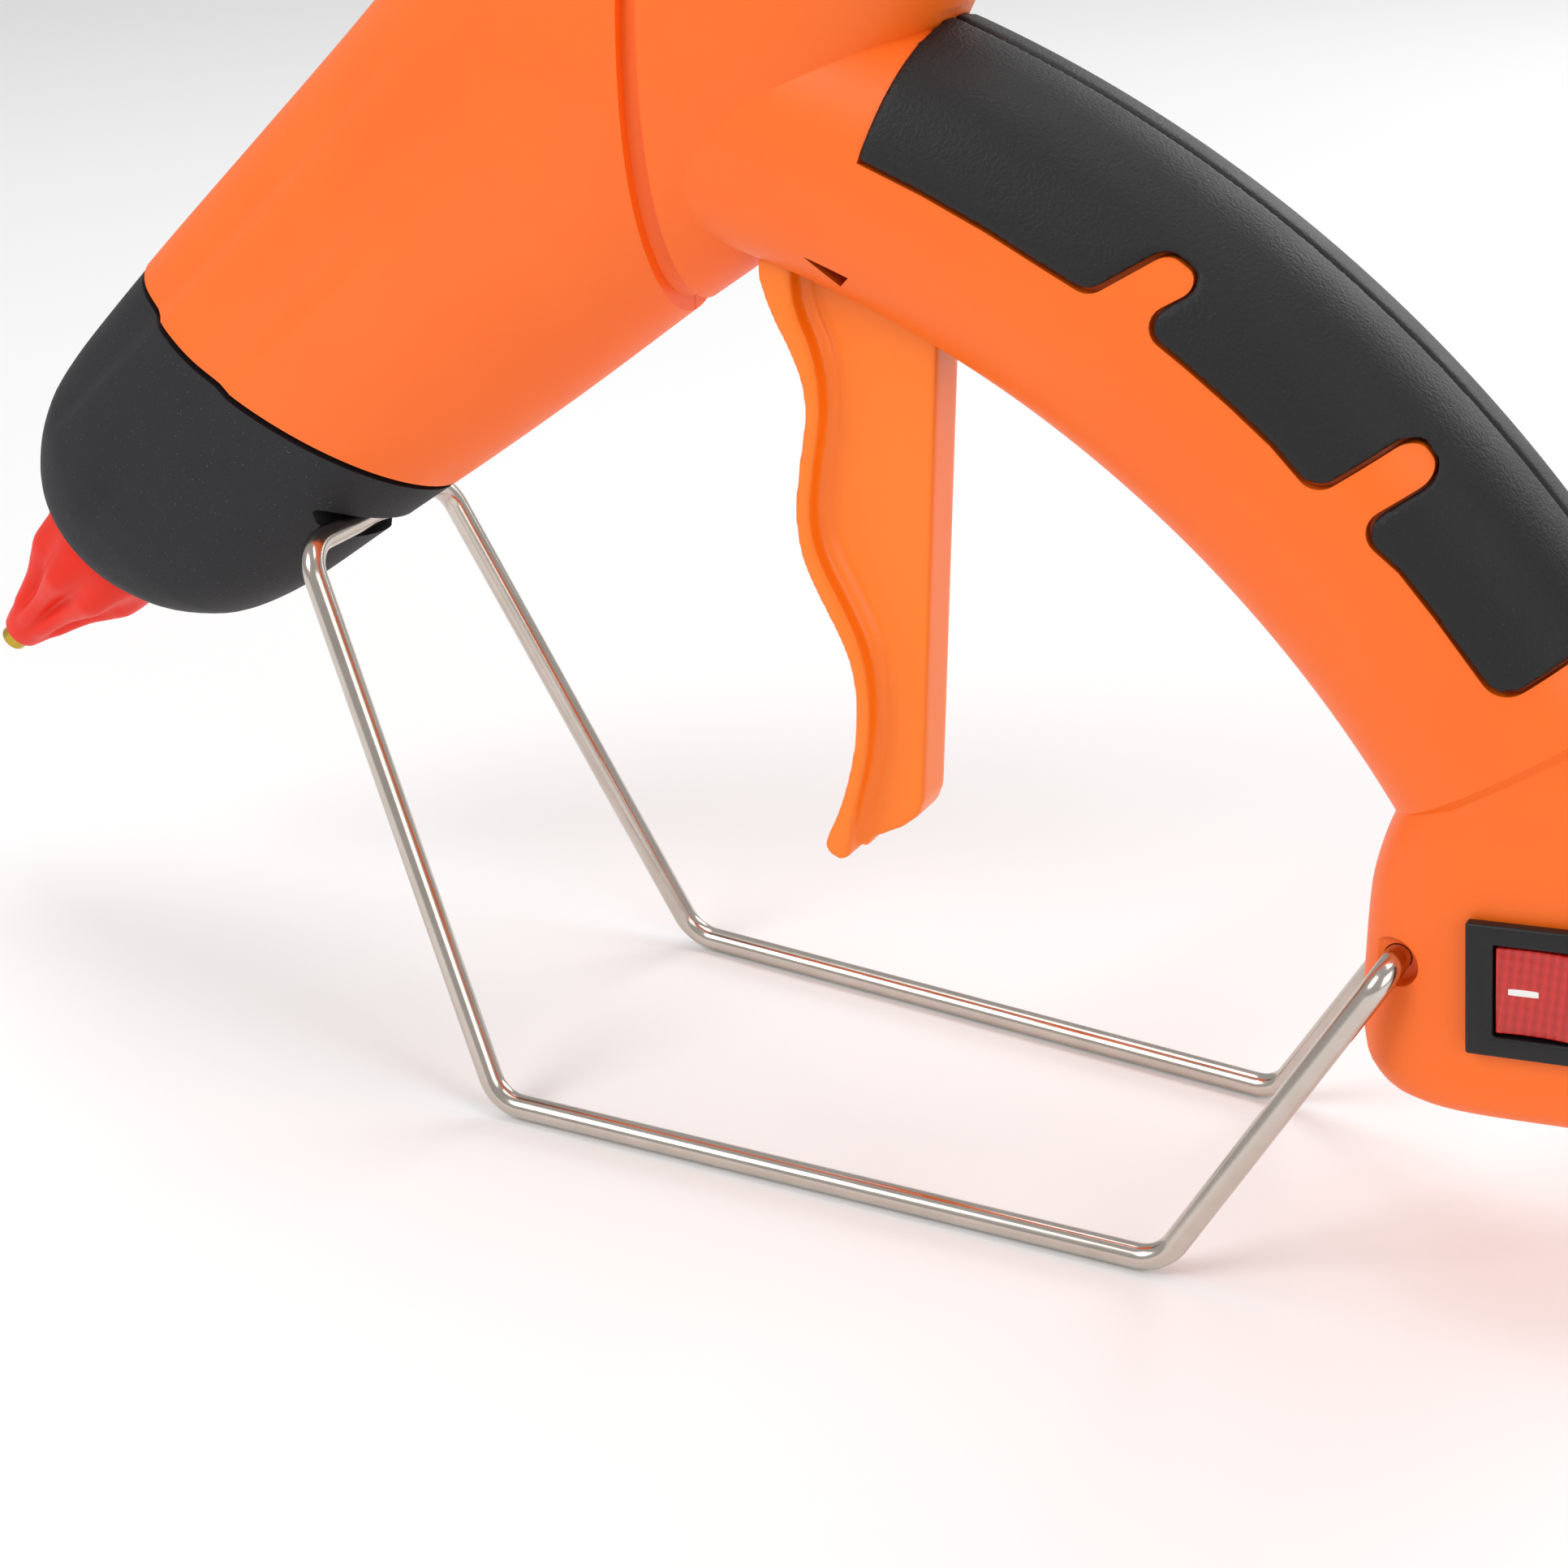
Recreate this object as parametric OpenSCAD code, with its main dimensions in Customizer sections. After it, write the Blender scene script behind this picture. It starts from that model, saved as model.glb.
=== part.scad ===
// Hot-melt glue gun, pitched nose-down on a bent-wire stand that hooks into the nose cap.
// Modelled with +X to the rear, +Y away from the switch side, +Z up. Millimetres.

/* [Barrel] */
// Nose-down pitch of the barrel
pitch = 42; // [38:1:46]
// Height of the nozzle tip above the stand wire's centreline
tip_height = 36.4; // [32:0.2:40]
// Greatest half width of the body around the feed mechanism
body_half_width = 17.3; // [16.6:0.1:18.5]
// Wall thickness of the housing
wall = 2.3; // [1.8:0.1:2.6]
// Radius of the glue-stick inlet
stick_inlet_r = 6; // [5.8:0.1:6.2]

/* [Handle] */
// Radius of the arc that the handle's centreline follows
handle_r = 147.9; // [144:0.2:151]
// Thickness of the handle from front to back
handle_thickness = 31.5; // [30:0.1:34]
// Width of the handle from side to side
handle_width = 29; // [28:0.1:32]

/* [Trigger] */
// Angle that the trigger turns through
trigger_travel = 18; // [12:1:18]
// Thickness of the trigger's web
trigger_web = 6.5; // [5.5:0.1:7.5]
// Width of the trigger's front flange
trigger_flange = 13; // [11:0.1:13.4]
// Radius of the trigger's pivot pin
pivot_r = 2; // [1.5:0.1:2.4]

/* [Stand] */
// Diameter of the stand's wire
wire_d = 3; // [2.4:0.1:3.2]
// Length of the two runs that lie on the table
stand_length = 84.1; // [76:0.1:92]
// Distance between the runs at their front ends
stand_front_width = 50.6; // [46:0.2:56]
// Distance between the runs at their rear ends
stand_rear_width = 42.6; // [40:0.2:46]

/* [Switch] */
// Length of the rocker switch's bezel
bezel_length = 21; // [20:0.1:22]
// Height of the rocker switch's bezel
bezel_height = 15; // [14:0.1:16]

/* [Hidden] */

big = 400;
sides = 24;
gap = 0.35;

// The nozzle tip is the origin of the barrel's own frame: x along the barrel, z square to it.
tip_x = -91.4;
tip_reach = 1.5;
tip_r = 1.8;

// The foot's own frame starts at its lower front corner and rises 6 degrees to the rear.
foot_tilt = 6;
foot_x = 100.5;
foot_z = 21.8;
gland_w = 15;
gland_r = 5.2;
gland_end = 52;

// The stand's wire turns in the foot about this point.
hinge_x = 104.6;
hinge_z = 38.8;
wire_r = wire_d / 2;
wire_run_clear = 0.06;
hook_s = 62.7;
hook_h = -20.2;

// The trigger turns about this point, square below the feed carriage's side pins.
pivot_arm = 30.4;
pivot_s = 146.7;
pivot_clear = 0.05;

// The origin is set under the middle of the whole object, on the table.
low_x = tip_x - tip_reach * cos(pitch) - tip_r * sin(pitch);
high_x = foot_x + gland_end * cos(foot_tilt) - (gland_w - gland_r) * sin(foot_tilt);
shift = [-(low_x + high_x) / 2, 0, wire_r];

// ---------- frames ----------

module place() { translate(shift) children(); }
module in_barrel() { translate([tip_x, 0, tip_height]) rotate([0, -pitch, 0]) children(); }
module in_foot() { translate([foot_x, 0, foot_z]) rotate([0, -foot_tilt, 0]) children(); }
module along_barrel(s, h = 0) { in_barrel() translate([s, 0, h]) rotate([0, 90, 0]) children(); }

// Turns a profile drawn as [x, z] into a slab centred on the middle plane.
module slab(half) { rotate([90, 0, 0]) linear_extrude(2 * half, center = true) children(); }
module slab_from(y0, y1) {
    translate([0, y1, 0]) rotate([90, 0, 0]) linear_extrude(y1 - y0) children();
}

// A point of the barrel's frame, as [x, z] of the whole object.
function barrel_point(s, h) =
    [tip_x + s * cos(pitch) - h * sin(pitch), tip_height + s * sin(pitch) + h * cos(pitch)];
pivot = barrel_point(pivot_s, -pivot_arm);

// Joins several faceted solids into one mesh.
module merged() { resize([0, 0, 0]) union() { children(); } }

// ---------- lofts ----------

function power(v, n) = sign(v) * pow(abs(v), 2 / n);
function oval(mid_a, half_a, half_b, n) =
    [for (i = [0:sides - 1]) let (t = 360 * i / sides)
        [mid_a + half_a * power(cos(t), n), half_b * power(sin(t), n)]];

module loft(rings) {
    count = len(rings);
    points = [for (ring = rings) each ring];
    side_faces = [for (i = [0:count - 2]) for (j = [0:sides - 1]) let (k = (j + 1) % sides)
        each [[i * sides + j, (i + 1) * sides + j, (i + 1) * sides + k],
              [i * sides + j, (i + 1) * sides + k, i * sides + k]]];
    front = [for (j = [0:sides - 1]) j];
    back = [for (j = [sides - 1:-1:0]) (count - 1) * sides + j];
    polyhedron(points, concat([front], side_faces, [back]));
}

// Barrel stations: distance from the tip, top, bottom, half width, squareness.
front_half_width = body_half_width - 2.7;
barrel_stations = [
    [48, 21.2, -21.0, front_half_width - 0.3, 1.85],
    [64, 22.0, -22.8, front_half_width, 1.85],
    [82, 22.6, -24.7, front_half_width + 0.6, 1.85],
    [100, 23.2, -26.2, front_half_width + 1.3, 1.85],
    [118, 24.0, -27.3, body_half_width - 0.5, 1.9],
    [134, 24.6, -28.4, body_half_width, 2.0],
    [150, 24.6, -27.6, body_half_width, 2.0],
    [163, 23.6, -23.0, body_half_width - 0.7, 2.1],
    [171, 21.6, -19.2, body_half_width - 2.1, 2.2],
    [175, 19.0, -16.6, body_half_width - 3.9, 2.2],
    [176.5, 16.5, -14.0, body_half_width - 5.9, 2.2]
];
cap_stations = [
    [27.6, 12.8, -10.8, 10.8, 2.0],
    [28.3, 14.4, -11.8, 11.6, 2.0],
    [30, 16.1, -14.2, 12.4, 2.0],
    [32.5, 17.9, -16.4, 13.1, 1.95],
    [36, 19.4, -18.5, 13.8, 1.9],
    [41, 20.3, -20.1, front_half_width - 0.4, 1.85],
    [48, 20.9, -21.4, front_half_width - 0.3, 1.85],
    [64, 21.8, -22.9, front_half_width, 1.85],
    [82, 22.6, -24.7, front_half_width + 0.6, 1.85]
];

module barrel_loft(stations, inset) {
    in_barrel() loft([for (t = stations)
        let (mid = (t[1] + t[2]) / 2, half = (t[1] - t[2]) / 2 - inset)
        [for (p = oval(mid, half, t[3] - inset, t[4])) [t[0], -p[1], p[0]]]]);
}

// The handle's centreline is an arc about this point; a station is angle, thickness and width shares.
handle_centre = [-5.5, -26];
handle_stations = concat(
    [for (a = [84:-4:40]) [a, 1, 1]],
    [[36.5, 1, 1], [36.1, 0.95, 0.95], [35.5, 0.95, 0.95]],
    [[35.1, 0.985, 0.98], [33, 0.93, 0.95], [30, 0.85, 0.92]]
);
module handle_loft(grow, stations = handle_stations) {
    loft([for (t = stations)
        [for (p = oval(handle_r, handle_thickness / 2 * t[1] + grow, handle_width / 2 * t[2] + grow, 2.4))
            [handle_centre[0] + p[0] * cos(t[0]), -p[1], handle_centre[1] + p[0] * sin(t[0])]]]);
}

// Foot stations: height, front, rear, half width.
foot_half = handle_width / 2;
foot_stations = [
    [-1.8, 8, 35, foot_half - 5],
    [-1.1, 5, 38.5, foot_half - 2.9],
    [0.7, 2.4, 41.4, foot_half - 1.2],
    [3.8, 0.8, 43.4, foot_half - 0.3],
    [8.5, 0.4, 44.4, foot_half],
    [16, 0.9, 44.8, foot_half],
    [23, 1.6, 44.4, foot_half],
    [28, 2.9, 43, foot_half - 0.2],
    [32, 4.6, 41.2, foot_half - 0.6],
    [37, 8, 38.6, foot_half - 1.3],
    [42, 13, 35.5, foot_half - 2.5],
    [46, 19, 32, foot_half - 5]
];
module foot_loft(inset) {
    last = len(foot_stations) - 1;
    in_foot() loft([for (i = [0:last])
        let (t = foot_stations[i], lift = i == 0 ? inset : i == last ? -inset : 0)
        [for (p = oval((t[1] + t[2]) / 2, (t[2] - t[1]) / 2 - inset, t[3] - inset, 4))
            [p[0], p[1], t[0] + lift]]]);
}

// ---------- regions cut from or shared by the shells ----------

// The seam between nose cap and barrel leans back towards the bottom.
seam_s = 66.8;
seam_lean = 19.5;
module ahead_of_seam(offset) {
    in_barrel() translate([seam_s, 0, 0]) rotate([0, -seam_lean, 0])
        translate([offset - big, -big / 2, -big / 2]) cube([big, big, big]);
}

// A half plane on one side of the mid-plane: side is -1 for the switch side.
module half_space(side, y = 0) {
    translate([-big, side > 0 ? y : -big - y, -big]) cube([2 * big, big, 2 * big]);
}

// The recessed line where the barrel meets the handle's head.
module head_groove() {
    groove_x = 15.4;
    groove_w = 2.4;
    translate([groove_x - groove_w / 2, -big / 2, 60]) cube([groove_w, big, 140]);
}

function polar(r, a) = [handle_centre[0] + r * cos(a), handle_centre[1] + r * sin(a)];

// The grip wraps the handle's back, and tabs reach into it from the front: base angle, end angle, end radius.
grip_front = 151.3;
grip_low = 39.2;
grip_high = 72;
tabs = [[60.3, 58.8, 159], [48.75, 48, 161.3]];
tab_half = 2.6;
module grip_outline(margin) {
    r_in = grip_front - margin;
    r_out = grip_front + 40;
    reach = margin / grip_front * 180 / PI;
    steps = 12;
    span = grip_high - grip_low + 2 * reach;
    difference() {
        polygon(concat(
            [for (i = [0:steps]) polar(r_in, grip_low - reach + span * i / steps)],
            [for (i = [steps:-1:0]) polar(r_out, grip_low - reach + span * i / steps)]
        ));
        for (tab = tabs) hull() {
            half = tab_half - margin;
            translate(polar(grip_front - 4, tab[0])) circle(half, $fn = 16);
            translate(polar(tab[2] - tab_half, tab[1])) circle(half, $fn = 16);
        }
    }
}
grip_depth = 1.4;
grip_proud = 0.5;
module grip_body(margin, rise) {
    stations = [for (a = [76:-3:34]) [a, 1, 1]];
    intersection() {
        difference() {
            handle_loft(rise, stations);
            handle_loft(-grip_depth - margin, stations);
        }
        slab(40) grip_outline(margin);
    }
}

// Clearance around the trigger, its fork and the feed carriage.
module trigger_space() {
    flange_clear = trigger_flange / 2 + 0.35;
    web_clear = trigger_web / 2 + 0.8;
    fork_clear = 11.9;
    slab(flange_clear) polygon([
        [26.4, 88], [42, 78], [42, 92], [36.8, 97], [36.8, 116], [30, 118], [24.6, 107], [23.6, 104.5], [25.6, 97]
    ]);
    slot_low = 78;
    slot_rear = web_rear + (pivot[1] - slot_low) * tan(trigger_travel);
    slab(web_clear) polygon([
        [36, slot_low], [slot_rear + 0.3, slot_low], [slot_rear - 0.7, 96], [48, 118], [36, 118]
    ]);
    in_barrel() slab(fork_clear) polygon([[140, -37], [153, -37], [153, 8], [127, 8], [137.6, -20]]);
}

// Bosses hold the screws that close the housing; each is [x, z, half width of the body there].
screw_spots = [
    concat(barrel_point(100, -19), [front_half_width - 4]),
    concat(barrel_point(134, 17), [body_half_width - 5.3]),
    [63, 101, foot_half - 0.5],
    [99.3, 68.3, foot_half - 0.9],
    [112, 27, foot_half - 0.6],
    [134, 52, foot_half - 1.2]
];
screw_r = 1.4;
screw_head_r = 2.8;
boss_r = 3.4;
module at_screw(i) {
    translate([screw_spots[i][0], 0, screw_spots[i][1]]) rotate([-90, 0, 0]) children();
}
module screw_bosses() {
    for (i = [0:len(screw_spots) - 1]) at_screw(i) cylinder(r = boss_r, h = 26, center = true, $fn = 24);
}
// The screw enters from the +Y side; its head sits this far below the surface.
head_sunk = 2;
module screw_holes() {
    for (i = [0:len(screw_spots) - 1]) at_screw(i) {
        translate([0, 0, -9]) cylinder(r = screw_r + 0.05, h = 30, $fn = 24);
        translate([0, 0, screw_spots[i][2] - head_sunk - 2]) cylinder(r = screw_head_r + 0.2, h = 20, $fn = 24);
    }
}

// Openings for the stick inlet, switch, cord gland and stand wire.
switch_u = 14.05;
switch_w = 8.4;
module switch_frame() {
    in_foot() translate([switch_u + bezel_length / 2, 0, switch_w + bezel_height / 2]) children();
}
module service_holes() {
    along_barrel(160) cylinder(r = 9.1, h = 40, $fn = 48);
    in_foot() translate([38, 0, gland_w]) rotate([0, 90, 0]) cylinder(r = gland_r - 0.9, h = 20, $fn = 40);
    switch_frame() translate([-9.7, -30, -6.6]) cube([19.4, 28, 13.2]);
}
module stand_bore() {
    entry_r = 2.75;
    translate([hinge_x, 0, hinge_z]) rotate([90, 0, 0]) {
        cylinder(r = wire_r + wire_run_clear, h = 60, center = true, $fn = 48);
        for (side = [-1, 1]) translate([0, 0, side * (bearing_half + 10)])
            cylinder(r = entry_r, h = 20, center = true, $fn = 48);
    }
}

// The part of a ring-shaped wall between two distances behind the seam.
module seam_ring(outer, inner, front, back) {
    intersection() {
        difference() {
            barrel_loft(barrel_stations, outer);
            barrel_loft(barrel_stations, inner);
        }
        ahead_of_seam(back);
        difference() {
            in_barrel() translate([-big / 2, -big / 2, -big / 2]) cube(big);
            ahead_of_seam(front);
        }
    }
}
// The tongue goes inside the nose cap's rear edge.
module seam_tongue() {
    seam_ring(wall + 0.5, wall + 1.7, -4.1, 2.4);
    seam_ring(wall - 0.6, wall + 1.8, 0.4, 2.6);
}

module outer_body() {
    difference() {
        barrel_loft(barrel_stations, 0);
        ahead_of_seam(0);
        intersection() {
            head_groove();
            difference() {
                barrel_loft(barrel_stations, -1);
                barrel_loft(barrel_stations, 1.3);
                handle_loft(-1.3);
            }
        }
    }
    handle_loft(0);
    foot_loft(0);
}
module hollow() {
    rear_wall_s = 172.5;
    difference() {
        union() {
            difference() {
                barrel_loft(barrel_stations, wall);
                along_barrel(rear_wall_s) cylinder(r = 60, h = 60, $fn = 24);
            }
            handle_loft(-wall);
            foot_loft(wall);
        }
        screw_bosses();
        stand_boss();
    }
}
module shell_solid(side) {
    intersection() {
        difference() {
            union() {
                difference() {
                    outer_body();
                    hollow();
                }
                seam_tongue();
            }
            grip_body(0.3, 2);
            trigger_space();
            service_holes();
            screw_holes();
        }
        half_space(side);
    }
}
module stand_boss() {
    translate([hinge_x, 0, hinge_z]) rotate([90, 0, 0]) cylinder(r = 4.2, h = 60, center = true, $fn = 24);
}

// ---------- nodes: housing ----------

module shell(side) {
    place() difference() {
        merged() shell_solid(side);
        stand_bore();
        translate([pivot[0], 0, pivot[1]]) rotate([90, 0, 0])
            cylinder(r = pivot_r + 0.02, h = 2 * pin_half, center = true, $fn = 48);
    }
}
module left_shell() { color("#ff7d28") shell(-1); }
module right_shell() { color("#ff7d28") shell(1); }

seam_gap = 0.9;
module hook_slot() {
    in_barrel() slab(30) polygon([
        [61.2, -17.6], [62.4, -16.6], [63.1, -16.6], [69.2, -26], [69, -30], [46, -30], [52, -25.9], [61.2, -18.9]
    ]);
}
module nose_cap() {
    color("#2d2d30") place() merged() difference() {
        intersection() {
            barrel_loft(cap_stations, 0);
            ahead_of_seam(-seam_gap);
        }
        difference() {
            barrel_loft([for (t = cap_stations) if (t[0] > 29) t], wall);
            in_barrel() translate([54, -30, -40]) cube([14.6, 60, 25.2]);
        }
        along_barrel(20) cylinder(r = 9.5, h = 12, $fn = 48);
        hook_slot();
    }
}

module grip(side) {
    color("#1a1a1c") place() merged() intersection() {
        grip_body(0, grip_proud);
        half_space(side);
    }
}
module grip_left() { grip(-1); }
module grip_right() { grip(1); }

// ---------- nodes: nozzle and valve ----------

module nozzle() {
    color("#c8aa3c") place() along_barrel(0) rotate_extrude($fn = 64)
        polygon([
            [0.85, -tip_reach], [tip_r, -tip_reach], [tip_r, 1], [3.2, 9], [3.2, 15], [6.4, 18],
            [6.4, 27.8], [3.95, 28], [3.95, 37], [2.5, 37], [2.5, 13], [2.0, 11], [0.85, 9]
        ]);
}
module nozzle_sleeve() {
    ribs = 8;
    color("#ff4614") place() along_barrel(0) difference() {
        rotate_extrude($fn = 64) polygon([
            [0, 0.9], [2.7, 0.9], [3.1, 2.4], [4.0, 6], [4.9, 12], [8.0, 18], [9.1, 22.5], [9.3, 26.5], [9.3, 29],
            [0, 29]
        ]);
        rotate_extrude($fn = 64) polygon([
            [0, 0], [tip_r + 0.03, 0], [tip_r + 0.03, 1], [3.23, 9], [3.23, 15], [6.43, 18], [6.43, 27.9], [0, 27.9]
        ]);
        translate([0, 0, 27.8]) cylinder(r = 8.25, h = 3, $fn = 64);
        for (i = [0:ribs - 1]) rotate([0, 0, 360 * i / ribs]) translate([9.9, 0, 14]) rotate([0, 18, 0])
            cylinder(r = 1.4, h = 9, $fn = 24);
    }
}
module valve_seat() {
    color("#b8b8bc") place() along_barrel(30) difference() {
        cylinder(r = 2.49, h = 6, $fn = 48);
        translate([0, 0, -1]) cylinder(r = 1.1, h = 8, $fn = 48);
    }
}
ball_r = 1.75;
ball_s = 28.5;
module check_ball() { color("#c0c0c4") place() along_barrel(ball_s) sphere(r = ball_r, $fn = 48); }

// A coil spring about the local z axis, swept as one closed tube.
module coil(radius, wire, length, turns) {
    per_turn = 14;
    around = 6;
    steps = turns * per_turn;
    points = [for (i = [0:steps]) for (j = [0:around - 1])
        let (t = 360 * i / per_turn, b = 360 * j / around, r = radius + wire * cos(b))
            [r * cos(t), r * sin(t), length * i / steps + wire * sin(b)]];
    faces = concat(
        [[for (j = [around - 1:-1:0]) j]],
        [for (i = [0:steps - 1]) for (j = [0:around - 1]) let (k = (j + 1) % around)
            each [[i * around + j, i * around + k, (i + 1) * around + j],
                  [i * around + k, (i + 1) * around + k, (i + 1) * around + j]]],
        [[for (j = [0:around - 1]) steps * around + j]]
    );
    polyhedron(points, faces);
}
module check_spring() { color("#b0b0b4") place() along_barrel(13.6) coil(2.0, 0.22, 12.3, 6); }

// ---------- nodes: heater ----------

chamber_bore_r = 5.8;
module heating_chamber() {
    color("#b4b6ba") place() in_barrel() difference() {
        union() {
            translate([28.2, 0, 0]) rotate([0, 90, 0]) cylinder(r = 8.2, h = 57.8, $fn = 64);
            translate([86, 0, 0]) rotate([0, 90, 0]) cylinder(r = 6.8, h = 6, $fn = 64);
            translate([42, -6.2, -14.2]) cube([42, 12.4, 14.2]);
        }
        translate([27, 0, 0]) rotate([0, 90, 0]) cylinder(r = 3.97, h = 12, $fn = 64);
        translate([38, 0, 0]) rotate([0, 90, 0]) cylinder(r = chamber_bore_r, h = 60, $fn = 64);
        translate([46, -4.6, -13.2]) cube([45, 9.2, 4.4]);
    }
}
module ptc_heater() { color("#7a7468") place() in_barrel() translate([48, -4, -12.1]) cube([30, 8, 2.2]); }
module upper_insulator() { color("#e8d8a0") place() in_barrel() translate([47, -4.4, -9.85]) cube([34, 8.8, 0.95]); }
module lower_insulator() { color("#e8d8a0") place() in_barrel() translate([47, -4.4, -13.1]) cube([34, 8.8, 0.95]); }
module thermal_fuse() {
    color("#d0b060") place() along_barrel(58, 9.9) {
        cylinder(r = 1.5, h = 11, $fn = 32);
        translate([0, 0, -4]) cylinder(r = 0.4, h = 19, $fn = 24);
    }
}
module support_plate(s, r, square) {
    in_barrel() difference() {
        translate([s, 0, 0]) rotate([0, 90, 0]) cylinder(r = r, h = 2.5, $fn = 64);
        translate([s - 1, 0, 0]) rotate([0, 90, 0]) cylinder(r = square ? 6.85 : 8.25, h = 5, $fn = 64);
        translate([s - 1, -2.2, -30]) cube([5, 4.4, 22]);
    }
}
module front_support() { color("#6b3a1e") place() support_plate(36, 11, false); }
module rear_support() { color("#6b3a1e") place() support_plate(86.2, 11.6, true); }

module inlet_sleeve() {
    color("#e05030") place() along_barrel(0) rotate_extrude($fn = 64)
        polygon([[6.85, 89], [8.2, 89], [8.2, 116], [5.9, 116], [5.9, 92.3], [6.85, 92.3]]);
}
module sleeve_clamp() {
    color("#c8c8cc") place() along_barrel(89.5) difference() {
        cylinder(r = 8.8, h = 2.4, $fn = 64);
        translate([0, 0, -1]) cylinder(r = 8.22, h = 5, $fn = 64);
    }
}
module stick_bush() {
    color("#202022") place() along_barrel(0) difference() {
        union() {
            translate([0, 0, 162]) cylinder(r = 9, h = 15, $fn = 64);
            translate([0, 0, 176.7]) cylinder(r = 10.2, h = 1.5, $fn = 64);
            translate([0, 0, 168]) cylinder(r = 10.4, h = 1.8, $fn = 64);
        }
        translate([0, 0, 150]) cylinder(r = stick_inlet_r, h = 40, $fn = 64);
    }
}

// ---------- nodes: feed ----------

carriage_half = 8.6;
gripper_s = 143.5;
gripper_h = -9.6;
module feed_carriage() {
    color("#f2f0ea") place() in_barrel() difference() {
        union() {
            translate([138, -carriage_half, -6]) cube([14, 2 * carriage_half, 15.4]);
            for (side = [-1, 1]) translate([138, side * 7.2 - 1.4, -13]) cube([12, 2.8, 8]);
            translate([pivot_s, 0, 0]) rotate([90, 0, 0]) cylinder(r = 1.5, h = 22.4, center = true, $fn = 48);
        }
        translate([130, 0, 0]) rotate([0, 90, 0]) cylinder(r = stick_inlet_r + 0.3, h = 30, $fn = 64);
        translate([130, -5.8, -14]) cube([30, 11.6, 12]);
        translate([gripper_s, 0, gripper_h]) rotate([90, 0, 0]) cylinder(r = 1.24, h = 30, center = true, $fn = 48);
    }
}
module stick_gripper() {
    color("#9a9ca0") place() in_barrel() difference() {
        union() {
            translate([gripper_s, 0, gripper_h]) rotate([90, 0, 0]) cylinder(r = 2.4, h = 10.4, center = true, $fn = 48);
            slab(4.5) polygon([[gripper_s - 1, gripper_h - 2], [150, gripper_h - 0.5], [150.4, -7.4], [149.2, -7.9],
                [148.8, -7.2], [147.6, -7.7], [147.2, -7.1], [146, -7.8], [gripper_s, gripper_h + 2]]);
        }
        translate([gripper_s, 0, gripper_h]) rotate([90, 0, 0]) cylinder(r = 1.25, h = 30, center = true, $fn = 48);
    }
}
module gripper_pin() {
    color("#c0c0c4") place() in_barrel() translate([gripper_s, 0, gripper_h]) rotate([90, 0, 0])
        cylinder(r = 1.2, h = 17, center = true, $fn = 48);
}

// ---------- nodes: trigger ----------

hub_half = 11.2;
pin_half = 13.3;
front_edge = [
    [31.4, 111.5], [24.6, 104], [26.4, 98], [30.2, 92], [31.5, 87], [30.5, 80], [30.1, 74], [31.2, 68.8], [34.3, 63.6],
    [37.2, 58.6], [38.3, 53.4], [38.1, 46.6], [36.4, 39.2], [34.8, 35.6], [34.5, 34], [35.4, 33], [36.8, 32.8]
];
flange_edge = [for (i = [1:len(front_edge) - 1]) front_edge[i]];
web_edge = [for (p = front_edge) if (p[1] > 36) [p[0] + 0.8, p[1]]];
web_top = 111.5;
web_rear = 45.7;
module trigger() {
    hub_r = 4.8;
    slot_half = 1.85;
    color("#ff8f23") place() difference() {
        union() {
            slab(trigger_web / 2) polygon(concat(web_edge,
                [[36.4, 35.2], [43, 37.2], [45, 38.8], [web_rear, 41], [web_rear, web_top]]));
            slab(trigger_flange / 2) polygon(concat(flange_edge,
                [[37.8, 33.4], [38.2, 38.6], [39.9, 46.4], [40.1, 53.6], [39, 59.6], [36.2, 64.8], [33.1, 69.8], [32, 74.4],
                 [32.4, 80], [33.4, 87], [32.4, 93.4], [29.6, 98.6], [29.4, 104]]));
            translate([pivot[0], 0, pivot[1]]) rotate([90, 0, 0]) cylinder(r = hub_r, h = 2 * hub_half, center = true, $fn = 64);
            for (side = [-1, 1]) in_barrel() translate([pivot_s - 4.2, side * (hub_half - 1.2) - 1.1, -pivot_arm])
                cube([8.4, 2.2, pivot_arm + 5]);
        }
        translate([pivot[0], 0, pivot[1]]) rotate([90, 0, 0])
            cylinder(r = pivot_r + pivot_clear, h = 60, center = true, $fn = 64);
        in_barrel() translate([pivot_s - slot_half, -30, -2.6]) cube([2 * slot_half, 60, 20]);
    }
}
module trigger_pin() {
    color("#c0c0c4") place() translate([pivot[0], 0, pivot[1]]) rotate([90, 0, 0])
        cylinder(r = pivot_r, h = 2 * pin_half - 0.4, center = true, $fn = 64);
}
module return_spring() {
    color("#b0b0b4") place() translate([pivot[0], 3.9, pivot[1]]) rotate([-90, 0, 0]) coil(5.6, 0.45, 4.4, 4);
}

// ---------- nodes: switch, wiring and cord entry ----------

bezel_proud = 1.5;
bezel_back = 0.1;
rocker_length = 14.6;
rocker_height = 9.8;
rocker_axis_y = -11.6;
module switch_housing() {
    face = -foot_half - bezel_back;
    color("#18181a") place() switch_frame() difference() {
        union() {
            translate([-bezel_length / 2, face - bezel_proud, -bezel_height / 2]) cube([bezel_length, bezel_proud, bezel_height]);
            translate([-9.5, face, -6.4]) cube([19, 15.5, 12.8]);
        }
        translate([-rocker_length / 2 - gap, face - 10, -rocker_height / 2 - gap])
            cube([rocker_length + 2 * gap, 10 + 9, rocker_height + 2 * gap]);
        translate([0, rocker_axis_y, 0]) cylinder(r = 1.05, h = 12.4, center = true, $fn = 48);
    }
}
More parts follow.
